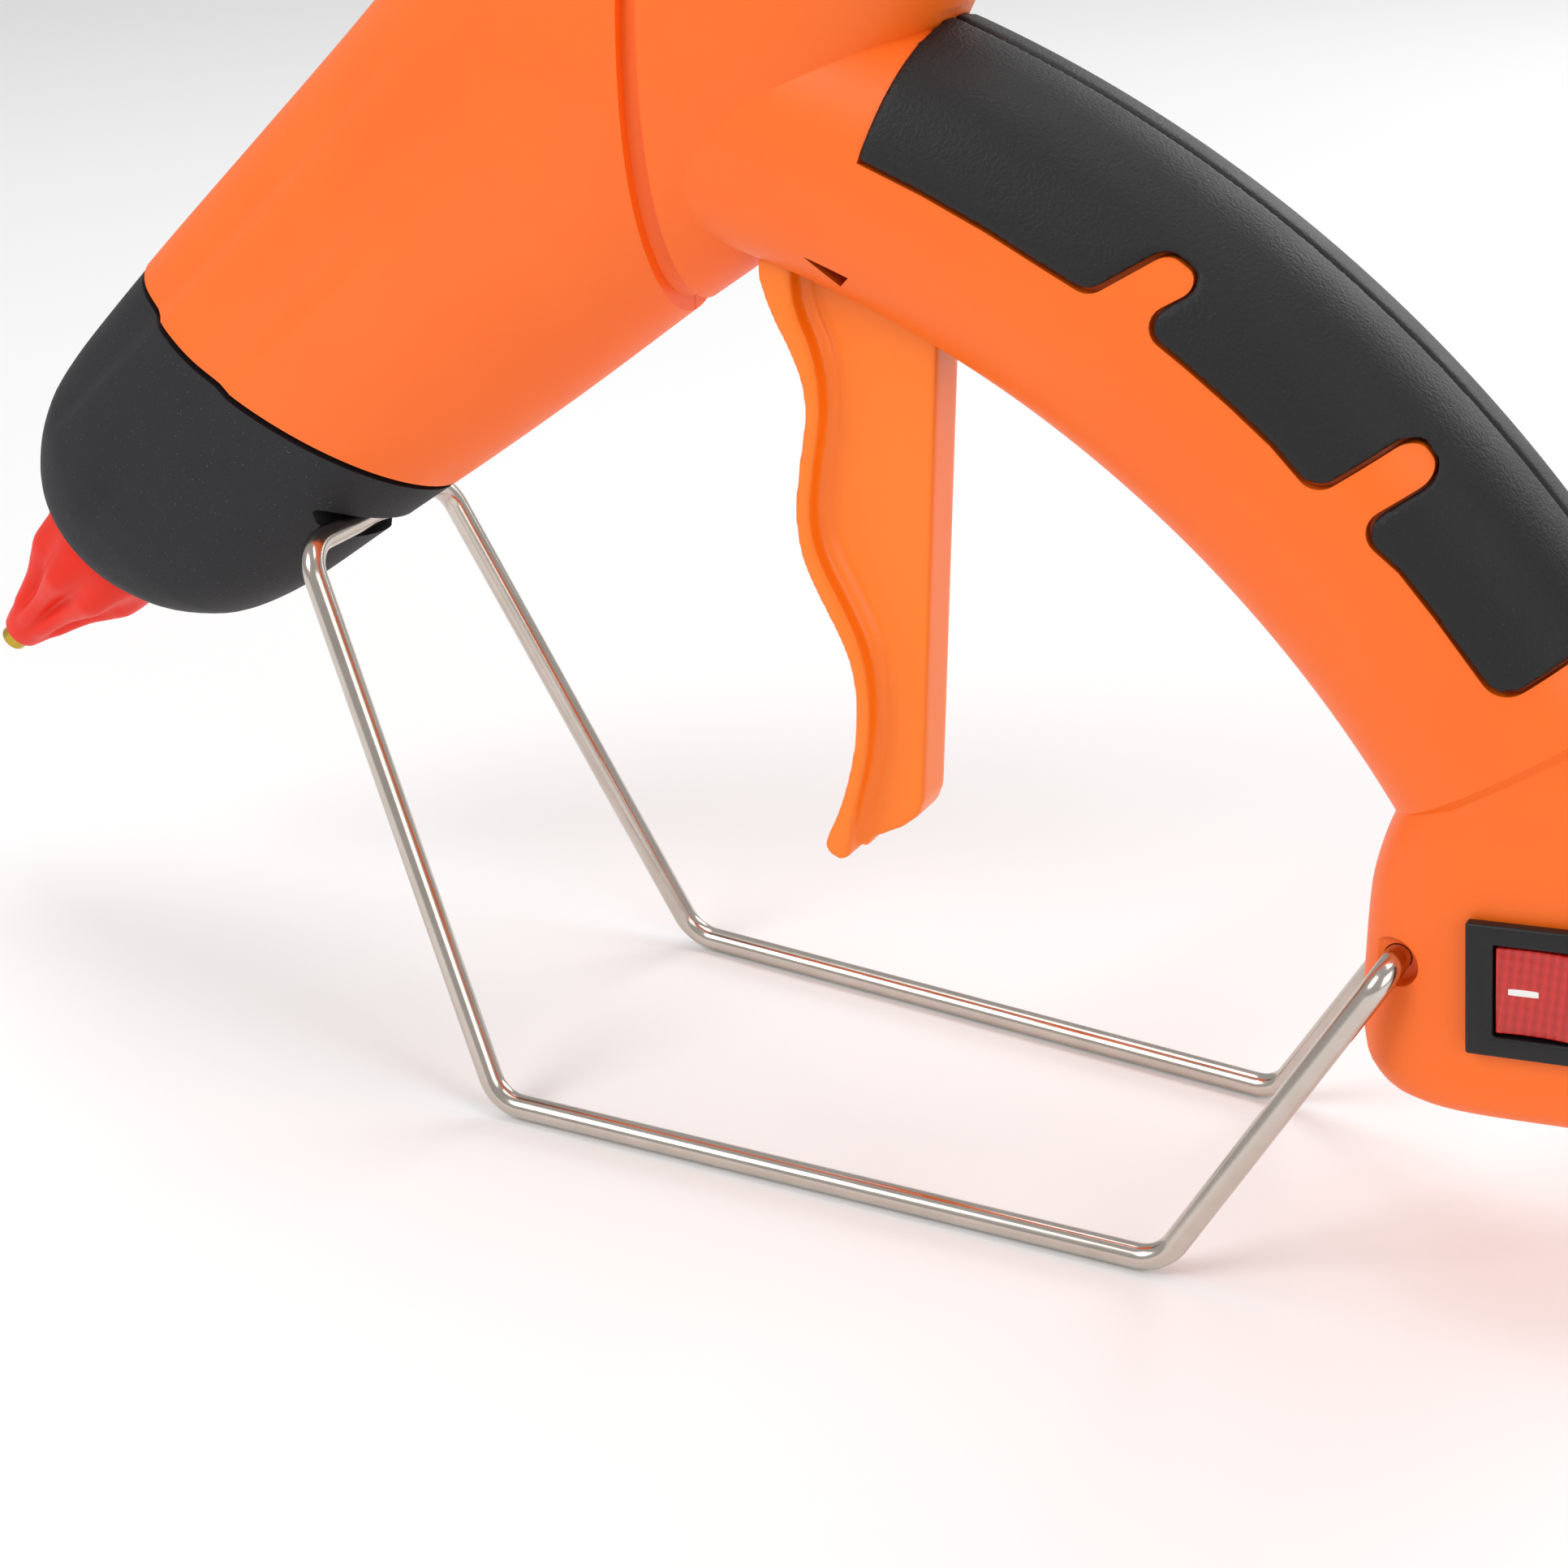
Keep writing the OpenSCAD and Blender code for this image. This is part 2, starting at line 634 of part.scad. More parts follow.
// The rocker's front is pressed in and its rear stands out.
rocker_rest = 9;
module switch_rocker() {
    color("#c81414") place() switch_frame() translate([0, rocker_axis_y, 0]) {
        rotate([0, 0, -rocker_rest]) translate([0, 0, -rocker_height / 2]) linear_extrude(rocker_height)
            polygon([[-6.8, -3.2], [-6.7, -5.2], [0, -4.2], [6.7, -5.2], [6.8, -3.2], [3.4, 1.6], [-3.4, 1.6]]);
        cylinder(r = 1, h = 12.2, center = true, $fn = 48);
    }
}
module terminal(i) {
    color("#c8b068") place() switch_frame() translate([-6 + 6 * i - 0.4, 1, -3.15]) cube([0.8, 7, 6.3]);
}
module terminal_1() { terminal(0); }
module terminal_2() { terminal(1); }
module terminal_3() { terminal(2); }
module terminal_block() {
    color("#e8e6dc") place() in_foot() translate([12.5, -5, 27]) difference() {
        cube([18, 10, 8]);
        for (i = [0:1]) translate([4.5 + 9 * i, 5, -1]) cylinder(r = 1.6, h = 10, $fn = 32);
    }
}

// Two lead wires run from the foot, up the handle and along the barrel to the heater.
lead_route = [
    [118, 2, 64], [110.5, 6, 73], [98, 7.5, 87], [81, 7.5, 101], [62, 7.5, 111.5], [48, 7.5, 117.5], [42, 7, 124],
    [37.5, 7, 129], [32, 9, 134.5], [22, 13, 139], [8, 13.1, 128], [-6, 12.4, 115.5], [-18, 11.2, 106], [-28, 8.5, 107],
    [-38, 4, 104.5], [-46, 1.5, 96]
];
function unit(v) = v / norm(v);
module tube_along(points, r, around, aside) {
    last = len(points) - 1;
    ring_points = [for (i = [0:last]) let (
        t = unit(points[min(i + 1, last)] - points[max(i - 1, 0)]), a = unit(cross(t, aside)), b = cross(t, a))
        for (j = [0:around - 1]) points[i] + r * (a * cos(360 * j / around) + b * sin(360 * j / around))];
    faces = concat(
        [[for (j = [0:around - 1]) j]],
        [for (i = [0:last - 1]) for (j = [0:around - 1]) let (k = (j + 1) % around)
            each [[i * around + k, i * around + j, (i + 1) * around + k],
                  [(i + 1) * around + k, i * around + j, (i + 1) * around + j]]],
        [[for (j = [around - 1:-1:0]) last * around + j]]
    );
    polyhedron(ring_points, faces);
}
module wiring() {
    color("#d8d8d8") place() for (side = [0, 1]) translate([0, 0, -2 * side]) tube_along(lead_route, 0.7, 8, [0, 1, 0]);
}

module cord_gland() {
    color("#1c1c1e") place() in_foot() translate([0, 0, gland_w]) rotate([0, 90, 0]) difference() {
        union() {
            translate([0, 0, 39]) cylinder(r = gland_r + 0.8, h = 2.5, $fn = 48);
            translate([0, 0, 41]) cylinder(r = gland_r - 1, h = 4, $fn = 48);
            translate([0, 0, 45]) cylinder(r = gland_r, h = gland_end - 45, $fn = 48);
        }
        translate([0, 0, 30]) cylinder(r = 3.5, h = 40, $fn = 48);
    }
}

// ---------- nodes: stand and screws ----------

// Points along the bend at corner p, between the directions from a to p and from p to b.
bend_steps = 6;
function bend_points(a, p, b, r) = let (
    d1 = unit(p - a), d2 = unit(b - p), turn = acos(d1 * d2), out = cross(d1, unit(cross(d1, d2))),
    c = p - d1 * r * tan(turn / 2) - out * r)
    [for (i = [0:bend_steps]) let (t = turn * i / bend_steps) c + r * (out * cos(t) + d1 * sin(t))];
hook = barrel_point(hook_s, hook_h);
hook_half = 15.1;
hinge_half = 15.8;
bottom_bend = 5;
hook_bend = 4.6;
hinge_bend = 3.6;
bearing_half = 11.6;
stand_corners = [
    [hinge_x, -bearing_half + 0.1, hinge_z], [hinge_x, -hinge_half, hinge_z],
    [stand_length, -stand_rear_width / 2, 0], [0, -stand_front_width / 2, 0],
    [hook[0], -hook_half, hook[1]], [hook[0], hook_half, hook[1]],
    [0, stand_front_width / 2, 0], [stand_length, stand_rear_width / 2, 0],
    [hinge_x, hinge_half, hinge_z], [hinge_x, bearing_half - 0.1, hinge_z]
];
bends = [0, hinge_bend, bottom_bend, bottom_bend, hook_bend, hook_bend, bottom_bend, bottom_bend, hinge_bend];
module wire_stand() {
    last = len(stand_corners) - 1;
    route = concat(
        [stand_corners[0]],
        [for (i = [1:last - 1]) each bend_points(stand_corners[i - 1], stand_corners[i], stand_corners[i + 1], bends[i])],
        [stand_corners[last]]
    );
    color("#c9c2b8") place() {
        tube_along(route, wire_r - 0.02, 16, [0.7, 0.7, 0]);
        translate([hinge_x, 0, hinge_z]) rotate([90, 0, 0]) cylinder(r = wire_r, h = 2 * bearing_half, center = true, $fn = 48);
    }
}

module screw(i) {
    color("#8c8c90") place() at_screw(i) difference() {
        union() {
            translate([0, 0, -8.5]) cylinder(r = screw_r, h = screw_spots[i][2] - head_sunk + 7, $fn = 32);
            translate([0, 0, screw_spots[i][2] - head_sunk - 1.9]) cylinder(r = screw_head_r, h = 1.9, $fn = 48);
        }
        for (t = [0, 90]) rotate([0, 0, t]) translate([-1.7, -0.35, screw_spots[i][2] - head_sunk - 1.1]) cube([3.4, 0.7, 3]);
    }
}
module screw_1() { screw(0); }
module screw_2() { screw(1); }
module screw_3() { screw(2); }
module screw_4() { screw(3); }
module screw_5() { screw(4); }
module screw_6() { screw(5); }

left_shell();
right_shell();
nose_cap();
grip_left();
grip_right();
nozzle();
nozzle_sleeve();
valve_seat();
check_ball();
check_spring();
heating_chamber();
ptc_heater();
upper_insulator();
lower_insulator();
thermal_fuse();
front_support();
rear_support();
inlet_sleeve();
sleeve_clamp();
stick_bush();
feed_carriage();
stick_gripper();
gripper_pin();
trigger();
trigger_pin();
return_spring();
switch_housing();
switch_rocker();
terminal_1();
terminal_2();
terminal_3();
terminal_block();
wiring();
cord_gland();
wire_stand();
screw_1();
screw_2();
screw_3();
screw_4();
screw_5();
screw_6();
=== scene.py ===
# %% [markdown]
# # A hot-melt glue gun resting on its wire stand
# A glue gun is two moulded halves screwed together round a heater and a feed, with a nose cap that
# takes the heat, rubber grips, a long trigger and a bent wire that holds the hot tip off the bench.
# The CAD model is loaded first and stays fixed. Each step then makes one visible piece smoother and
# finer than its CAD node, gives it a finish, and lets it ride on the CAD body it belongs to.

# %% Load the CAD model as the fixed frame
import math

import bpy
import numpy as np
from mathutils import Matrix, Vector


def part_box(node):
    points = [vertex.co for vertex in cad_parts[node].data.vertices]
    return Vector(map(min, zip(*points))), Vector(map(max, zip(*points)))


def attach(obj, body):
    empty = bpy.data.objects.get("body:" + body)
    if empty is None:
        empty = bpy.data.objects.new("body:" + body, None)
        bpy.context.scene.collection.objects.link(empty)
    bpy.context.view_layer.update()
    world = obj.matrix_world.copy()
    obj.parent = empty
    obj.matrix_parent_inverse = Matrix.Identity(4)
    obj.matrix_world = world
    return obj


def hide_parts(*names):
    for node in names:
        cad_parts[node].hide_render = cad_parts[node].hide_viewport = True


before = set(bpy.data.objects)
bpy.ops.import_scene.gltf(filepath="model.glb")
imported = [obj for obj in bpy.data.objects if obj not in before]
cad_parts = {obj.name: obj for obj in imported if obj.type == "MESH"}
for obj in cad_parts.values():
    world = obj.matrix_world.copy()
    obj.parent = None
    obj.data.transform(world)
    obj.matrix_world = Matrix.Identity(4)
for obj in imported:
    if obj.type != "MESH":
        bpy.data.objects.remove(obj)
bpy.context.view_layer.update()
MM = 0.001

# %% [markdown]
# ## Finding places
# The barrel points 42 degrees down, the foot leans 6 degrees, and the handle follows an arc, so each
# has its own little coordinate system in millimetres. They all hang on one measured thing: the valve
# ball, which lies 28.5 mm behind the tip. With these helpers a number from the drawing can be used
# as it stands, which is easier to check than one long list of ready-made points.

# %% Coordinate systems of the barrel, the foot and the handle
PITCH = math.radians(42)
FOOT_TILT = math.radians(6)
BALL_BEHIND_TIP = 28.5
TIP_X, TIP_Z = -91.4, 36.4
FOOT_X, FOOT_Z = 100.5, 21.8
ARC_X, ARC_Z = -5.5, -26
ALONG = Vector((math.cos(PITCH), 0, math.sin(PITCH)))
ACROSS = Vector((-math.sin(PITCH), 0, math.cos(PITCH)))
ball_low, ball_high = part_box("check_ball")
tip = (ball_low + ball_high) / 2 - ALONG * BALL_BEHIND_TIP * MM
zero = tip - Vector((TIP_X, 0, TIP_Z)) * MM


def spot(x, y, z):
    return zero + Vector((x, y, z)) * MM


def barrel(s, y, h):
    return tip + (ALONG * s + Vector((0, y, 0)) + ACROSS * h) * MM


def handle(radius, angle, y):
    turn = math.radians(angle)
    return spot(ARC_X + radius * math.cos(turn), y, ARC_Z + radius * math.sin(turn))


foot_turn = Matrix.Rotation(-FOOT_TILT, 4, "Y") @ Matrix.Scale(MM, 4)
foot_place = Matrix.Translation(spot(FOOT_X, 0, FOOT_Z)) @ foot_turn
switch_place = foot_place @ Matrix.Translation((24.55, 0, 15.9))


def foot(u, v, w):
    return foot_place @ Vector((u, v, w))


def on_switch(u, v, w):
    return switch_place @ Vector((u, v, w))


print("tip", [round(x / MM, 2) for x in tip])

# %% [markdown]
# ## Working by hand, in code
# Blender's operators act on what is selected, and a loaded model is selected all over. So each tool
# below first selects only what it is about to change. A curved form is a flat grid that is rolled
# round a row of rings; a flat form is a disc whose rim is moved to an outline and then extruded.

# %% Selecting, rolling a grid, extruding an outline and cutting
def pick(*pieces):
    bpy.ops.object.select_all(action="DESELECT")
    for piece in pieces:
        piece.select_set(True)
    bpy.context.view_layer.objects.active = pieces[0]


def edit(piece, *steps):
    pick(piece)
    bpy.ops.object.mode_set(mode="EDIT")
    bpy.ops.mesh.select_all(action="SELECT")
    for step in steps:
        step()
    bpy.ops.object.mode_set(mode="OBJECT")
    return piece


def face_out():
    bpy.ops.mesh.select_all(action="SELECT")
    bpy.ops.mesh.normals_make_consistent(inside=False)


def fresh(name, add, **settings):
    bpy.ops.object.select_all(action="DESELECT")
    add(**settings)
    piece = bpy.context.object
    piece.name = name
    return piece


def move_points(piece, points):
    piece.data.vertices.foreach_set("co", np.array(points, float).ravel())
    piece.data.update()


def close_up():
    bpy.ops.mesh.remove_doubles(threshold=1e-6)
    bpy.ops.mesh.select_all(action="SELECT")
    bpy.ops.mesh.fill_holes(sides=0)


def rolled(name, rings):
    rings = np.array(rings, float)
    rows, around = rings.shape[:2]
    piece = fresh(name, bpy.ops.mesh.primitive_grid_add,
                  x_subdivisions=around, y_subdivisions=rows - 1, size=0.1)
    move_points(piece, np.concatenate([rings, rings[:, :1]], axis=1))
    return edit(piece, close_up, face_out)


def extruded(name, outline, pull):
    piece = fresh(name, bpy.ops.mesh.primitive_circle_add,
                  vertices=len(outline), radius=0.01, fill_type="NGON")
    move_points(piece, outline)
    return edit(piece, lambda: bpy.ops.mesh.extrude_region_move(
        TRANSFORM_OT_translate={"value": tuple(pull)}), face_out)


def slab(name, outline, half, place=spot, middle=0.0):
    points = [place(a, middle - half, b) for a, b in outline]
    return extruded(name, points, (0, 2 * half * MM, 0))


def rod(name, start, end, radius, sides=48):
    way = end - start
    piece = fresh(name, bpy.ops.mesh.primitive_cylinder_add, vertices=sides,
                  radius=radius * MM, depth=way.length, location=(start + end) / 2)
    piece.rotation_mode = "QUATERNION"
    piece.rotation_quaternion = way.to_track_quat("Z", "Y")
    return settle(piece)


def settle(piece, place=None):
    if place is not None:
        piece.matrix_world = place @ piece.matrix_world
    pick(piece)
    bpy.ops.object.transform_apply(location=True, rotation=True, scale=True)
    return piece


def finish_with(piece, kind, **settings):
    step = piece.modifiers.new(kind.lower(), kind)
    for name, value in settings.items():
        setattr(step, name, value)
    pick(piece)
    bpy.ops.object.modifier_apply(modifier=step.name)
    return piece


def carve(piece, *tools, how="DIFFERENCE"):
    for tool in tools:
        finish_with(piece, "BOOLEAN", operation=how, solver="MANIFOLD", object=tool)
        bpy.data.objects.remove(tool)
    if not piece.data.polygons:
        raise ValueError(f"{piece.name} was cut away to nothing")
    return piece


def twin(piece, name):
    pick(piece)
    bpy.ops.object.duplicate(linked=False)
    bpy.context.object.name = name
    return bpy.context.object


def soften(piece, voxel, passes):
    finish_with(piece, "REMESH", mode="VOXEL", voxel_size=voxel * MM)
    return finish_with(piece, "SMOOTH", factor=0.5, iterations=passes)


# %% [markdown]
# ## Sections between the drawn ones
# A drawing gives a section every centimetre or two. Straight lines between them would show as bands
# in the highlights, so each column of the table is filled in with a curve that never overshoots its
# drawn values. The points of each ring are spread evenly along it, so the grid stays square.

# %% Fill in a table of sections, and draw an even oval
def fill_in(table, step):
    table = np.array(table, float)
    x, y = table[:, 0], table[:, 1:]
    slope = np.diff(y, axis=0) / np.diff(x)[:, None]
    tangent = np.vstack([slope[:1], np.zeros_like(slope[1:]), slope[-1:]])
    before, after = slope[:-1], slope[1:]
    same_way = before * after > 0
    total = np.where(same_way, before + after, 1)
    tangent[1:-1] = np.where(same_way, 2 * before * after / total, 0)
    at = np.unique(np.concatenate([np.arange(x[0], x[-1], step), x]))
    i = np.clip(np.searchsorted(x, at, side="right") - 1, 0, len(x) - 2)
    span = (x[i + 1] - x[i])[:, None]
    t = (at - x[i])[:, None] / span
    curve = ((2 * t**3 - 3 * t**2 + 1) * y[i] + (t**3 - 2 * t**2 + t) * span * tangent[i]
             + (3 * t**2 - 2 * t**3) * y[i + 1] + (t**3 - t**2) * span * tangent[i + 1])
    return np.column_stack([at, curve])


def even_oval(half_a, half_b, squareness, count):
    t = np.linspace(0, 2 * math.pi, 1441)
    a = half_a * np.sign(np.cos(t)) * np.abs(np.cos(t)) ** (2 / squareness)
    b = half_b * np.sign(np.sin(t)) * np.abs(np.sin(t)) ** (2 / squareness)
    walk = np.concatenate([[0], np.cumsum(np.hypot(np.diff(a), np.diff(b)))])
    even = np.linspace(0, walk[-1], count, endpoint=False)
    return np.interp(even, walk, a), np.interp(even, walk, b)


def channel(height, edge):
    """A shallow channel with a crisp lower edge that fades out upwards."""
    width = np.where(height < edge, 0.9, 3.6)
    return np.exp(-(((height - edge) / width) ** 2))


# %% [markdown]
# ## Finishes
# A moulded part is never one flat colour. The pigment drifts a little, the tool's spark-eroded skin
# leaves a fine grain, and handling polishes it unevenly. All of that comes from noise at the real
# scale, read from Object coordinates so that it stays put on the piece. The little class below lets
# shader maths be written as ordinary sums.

# %% A socket that can be added and multiplied, and a paint box for one material
class Value:
    def __init__(self, paint, socket):
        self.paint = paint
        self.socket = socket

    def maths(self, operation, first, second=0.0, clamp=False):
        return self.paint.node("Math", {"operation": operation, "use_clamp": clamp},
                               {0: first, 1: second})

    def __add__(self, other):
        return self.maths("ADD", self, other)

    __radd__ = __add__

    def __mul__(self, other):
        return self.maths("MULTIPLY", self, other)

    __rmul__ = __mul__

    def __sub__(self, other):
        return self.maths("SUBTRACT", self, other)

    def __rsub__(self, other):
        return self.maths("SUBTRACT", other, self)

    def __gt__(self, other):
        return self.maths("GREATER_THAN", self, other)

    def clamped(self):
        return self.maths("ADD", self, 0.0, clamp=True)


class Paint:
    def __init__(self, name):
        self.material = bpy.data.materials.new(name)
        self.material.use_nodes = True
        self.tree = self.material.node_tree
        self.skin = self.tree.nodes["Principled BSDF"]
        self.where = self.node("TexCoord", out="Object")

    def node(self, kind, settings=None, values=None, out=0):
        made = self.tree.nodes.new("ShaderNode" + kind)
        for name, value in (settings or {}).items():
            setattr(made, name, value)
        for key, value in (values or {}).items():
            self.give(made.inputs[key], value)
        return Value(self, made.outputs[out])

    def give(self, socket, value):
        if isinstance(value, Value):
            self.tree.links.new(value.socket, socket)
        else:
            socket.default_value = value

    def set(self, **sockets):
        for name, value in sockets.items():
            self.give(self.skin.inputs[name.replace("_", " ")], value)
        return self

    def noise(self, size, detail=2.0, roughness=0.5, where=None):
        return self.node("TexNoise", None, {
            "Vector": where or self.where, "Scale": 1 / (size * MM),
            "Detail": detail, "Roughness": roughness})

    def stretched(self, x, y, z):
        return self.node("VectorMath", {"operation": "MULTIPLY"}, {0: self.where, 1: (x, y, z)})

    def blend(self, share, first, second):
        return self.node("Mix", {"data_type": "RGBA"}, {0: share, 6: first, 7: second}, out=2)

    def bump(self, height, depth, strength=1.0):
        return self.node("Bump", None, {"Height": height, "Distance": depth * MM, "Strength": strength})


def rgb(red, green, blue):
    """A screen colour, 0 to 255, as the linear colour that a shader works with."""
    shares = [c / 255 for c in (red, green, blue)]
    return (*[s / 12.92 if s <= 0.04045 else ((s + 0.055) / 1.055) ** 2.4 for s in shares], 1.0)


def moulded(name, colour, second, roughness, grain=0.35, depth=0.02, specks=None, **constants):
    paint = Paint(name)
    drift = paint.noise(22, 3)
    skin = paint.noise(grain, 3, 0.6)
    base = paint.blend(drift, colour, second)
    if specks:
        dots = paint.noise(0.24, 1, 0.4) > 0.74
        base = paint.blend(dots * 0.45, base, specks)
    rubbed = paint.noise(6, 4)
    paint.set(Base_Color=base, Roughness=roughness - 0.06 + rubbed * 0.12 + skin * 0.04,
              Normal=paint.bump(skin, depth), **constants)
    return paint.material


def metal(name, colour, second, roughness, streak=(1, 1, 1), wear=0.08, depth=0.004):
    paint = Paint(name)
    lines = paint.noise(0.5, 4, 0.6, where=paint.stretched(*streak))
    cloud = paint.noise(5, 3)
    paint.set(Base_Color=paint.blend(cloud, colour, second), Metallic=1.0,
              Roughness=roughness + lines * wear, Normal=paint.bump(lines, depth))
    return paint.material


orange = moulded("orange_satin", rgb(252, 112, 14), rgb(246, 103, 10), 0.44, 0.3, 0.012)
trigger_orange = moulded("trigger_orange", rgb(252, 128, 12), rgb(248, 120, 8), 0.32, 0.3, 0.005)
charcoal = moulded("charcoal_glass_filled", rgb(30, 30, 34), rgb(25, 25, 29), 0.58, 0.22, 0.03,
                   specks=rgb(105, 105, 110), Specular_IOR_Level=0.35)
rubber = moulded("grip_rubber", rgb(19, 19, 20), rgb(13, 13, 14), 0.5, 0.4, 0.12,
                 specks=rgb(60, 60, 64), Specular_IOR_Level=0.4)
black_plastic = moulded("black_plastic", rgb(17, 17, 18), rgb(13, 13, 14), 0.42, 0.3, 0.03,
                        Specular_IOR_Level=0.4)
red_silicone = moulded("red_silicone", rgb(238, 40, 2), rgb(226, 32, 2), 0.42, 0.6, 0.012,
                       Specular_IOR_Level=0.25)
white_plastic = moulded("white_nylon", rgb(238, 234, 222), rgb(230, 225, 210), 0.4, 0.5, 0.01)
phenolic = moulded("brown_phenolic", rgb(92, 52, 28), rgb(70, 38, 20), 0.5, 0.6, 0.03)
inner_silicone = moulded("inner_silicone", rgb(205, 72, 44), rgb(190, 60, 36), 0.5, 0.6, 0.01)
ceramic = moulded("heater_ceramic", rgb(118, 112, 100), rgb(98, 92, 82), 0.65, 0.4, 0.02)
mica = moulded("mica_sheet", rgb(222, 200, 140), rgb(200, 172, 110), 0.3, 1.2, 0.01)
lead_cover = moulded("lead_cover", rgb(212, 212, 208), rgb(196, 196, 192), 0.45, 0.8, 0.01)
brass = metal("tip_brass", rgb(206, 178, 70), rgb(176, 146, 52), 0.3)
contact_brass = metal("contact_brass", rgb(214, 190, 110), rgb(196, 168, 90), 0.26)
nickel = metal("nickel_wire", rgb(214, 205, 196), rgb(188, 178, 168), 0.13, (0.06, 1, 1), 0.1, 0.003)
steel = metal("spring_steel", rgb(190, 190, 196), rgb(160, 160, 166), 0.24)
dark_steel = metal("screw_steel", rgb(120, 120, 126), rgb(88, 88, 94), 0.34)
cast_metal = metal("cast_aluminium", rgb(176, 178, 184), rgb(150, 152, 158), 0.45, wear=0.2, depth=0.03)
print("finishes:", len(bpy.data.materials))


# %% Hand a finished piece to the frame
def dress(piece, material, body, slot, *nodes, angle=32):
    piece.data.materials.clear()
    piece.data.materials.append(material)
    pick(piece)
    bpy.ops.object.shade_smooth_by_angle(angle=math.radians(angle))
    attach(piece, body)
    if nodes:
        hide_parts(*nodes)
    piece.data.update()
    print(piece.name, len(piece.data.polygons), "faces")
    return piece


# %% [markdown]
# ## The housing
# The two orange halves are one flowing form: a barrel that swells round the feed, a handle that
# leaves it along an arc, and a rounded foot. Three rolled grids joined by a boolean give the crease
# where the handle's head meets the barrel, as the real moulding has. A remesh would melt that line.

# %% Sections of the barrel, the handle and the foot
BODY_HALF = 17.3
FRONT_HALF = 14.6
FOOT_HALF = 14.5
HANDLE_RADIUS = 147.9
HANDLE_THICK = 31.5
HANDLE_WIDE = 29
WALL = 2.3
barrel_sections = [
    [48, 21.2, -21.0, FRONT_HALF - 0.3, 1.85], [64, 22.0, -22.8, FRONT_HALF, 1.85],
    [82, 22.6, -24.7, FRONT_HALF + 0.6, 1.85], [100, 23.2, -26.2, FRONT_HALF + 1.3, 1.85],
    [118, 24.0, -27.3, BODY_HALF - 0.5, 1.9], [134, 24.6, -28.4, BODY_HALF, 2.0],
    [150, 24.6, -27.6, BODY_HALF, 2.0], [163, 23.6, -23.0, BODY_HALF - 0.7, 2.1],
    [171, 21.6, -19.2, BODY_HALF - 2.1, 2.2], [175, 19.0, -16.6, BODY_HALF - 3.9, 2.2],
    [176.5, 16.5, -14.0, BODY_HALF - 5.9, 2.2]]
cap_sections = [
    [27.6, 12.8, -10.8, 10.8, 2.0], [28.3, 14.4, -11.8, 11.6, 2.0], [30, 16.1, -14.2, 12.4, 2.0],
    [32.5, 17.9, -16.4, 13.1, 1.95], [36, 19.4, -18.5, 13.8, 1.9],
    [41, 20.3, -20.1, FRONT_HALF - 0.4, 1.85], [48, 20.9, -21.4, FRONT_HALF - 0.3, 1.85],
    [64, 21.8, -22.9, FRONT_HALF, 1.85], [82, 22.6, -24.7, FRONT_HALF + 0.6, 1.85]]
handle_sections = [
    [30, 0.85, 0.92], [33, 0.93, 0.95], [35.1, 0.985, 0.98], [35.5, 0.95, 0.95],
    [36.1, 0.95, 0.95], [36.5, 1, 1], [60, 1, 1], [84, 1, 1]]
foot_sections = [
    [-1.8, 8, 35, -5], [-1.1, 5, 38.5, -2.9], [0.7, 2.4, 41.4, -1.2], [3.8, 0.8, 43.4, -0.3],
    [8.5, 0.4, 44.4, 0], [16, 0.9, 44.8, 0], [23, 1.6, 44.4, 0], [28, 2.9, 43, -0.2],
    [32, 4.6, 41.2, -0.6], [37, 8, 38.6, -1.3], [42, 13, 35.5, -2.5], [46, 19, 32, -5]]


def barrel_form(name, sections, inset=0.0, flute=0.0, step=1.1, around=112):
    rings = []
    for s, top, bottom, half, squareness in fill_in(sections, step):
        h, y = even_oval((top - bottom) / 2 - inset, half - inset, squareness, around)
        h = h + (top + bottom) / 2
        fade = np.clip((s - 33) / 8, 0, 1) * np.clip((125 - s) / 40, 0, 1)
        sink = flute * fade * (channel(h, 14.0) + 0.6 * channel(h, 1.2))
        y = y * (1 - sink / np.maximum(np.abs(y), 4))
        rings.append([barrel(s, b, a) for a, b in zip(h, y)])
    return rolled(name, rings)


def handle_form(name, grow=0.0, sections=handle_sections, step=0.7, around=112):
    rings = []
    for angle, thick, wide in fill_in(sections, step):
        r, y = even_oval(HANDLE_THICK / 2 * thick + grow, HANDLE_WIDE / 2 * wide + grow, 2.4, around)
        rings.append([handle(HANDLE_RADIUS + a, angle, b) for a, b in zip(r, y)])
    return rolled(name, rings)


def foot_form(name, inset=0.0, around=128):
    rings = []
    table = fill_in(foot_sections, 0.9)
    for i, (w, front, rear, half) in enumerate(table):
        u, v = even_oval((rear - front) / 2 - inset, FOOT_HALF + half - inset, 4, around)
        lift = inset if i == 0 else -inset if i == len(table) - 1 else 0
        rings.append([foot(a + (front + rear) / 2, b, w + lift) for a, b in zip(u, v)])
    return rolled(name, rings)


# %% Ahead of the seam, and beside the middle plane
SEAM_S = 66.8
SEAM_LEAN = math.radians(19.5)


def ahead_of_seam(offset):
    lean = PITCH + SEAM_LEAN
    back, up = (Vector((math.cos(lean), 0, math.sin(lean))),
                Vector((-math.sin(lean), 0, math.cos(lean))))
    start = barrel(SEAM_S, 0, 0) + back * offset * MM
    corners = [start + up * 0.06, start - up * 0.06, start - up * 0.06 - back * 0.12,
               start + up * 0.06 - back * 0.12]
    return extruded("ahead", [c - Vector((0, 0.06, 0)) for c in corners], (0, 0.12, 0))


def beside_middle(side, gap=0.07):
    box = [spot(-150, side * gap, -20), spot(190, side * gap, -20), spot(190, side * gap, 200),
           spot(-150, side * gap, 200)]
    return extruded("beside", box, (0, -side * 0.06, 0))


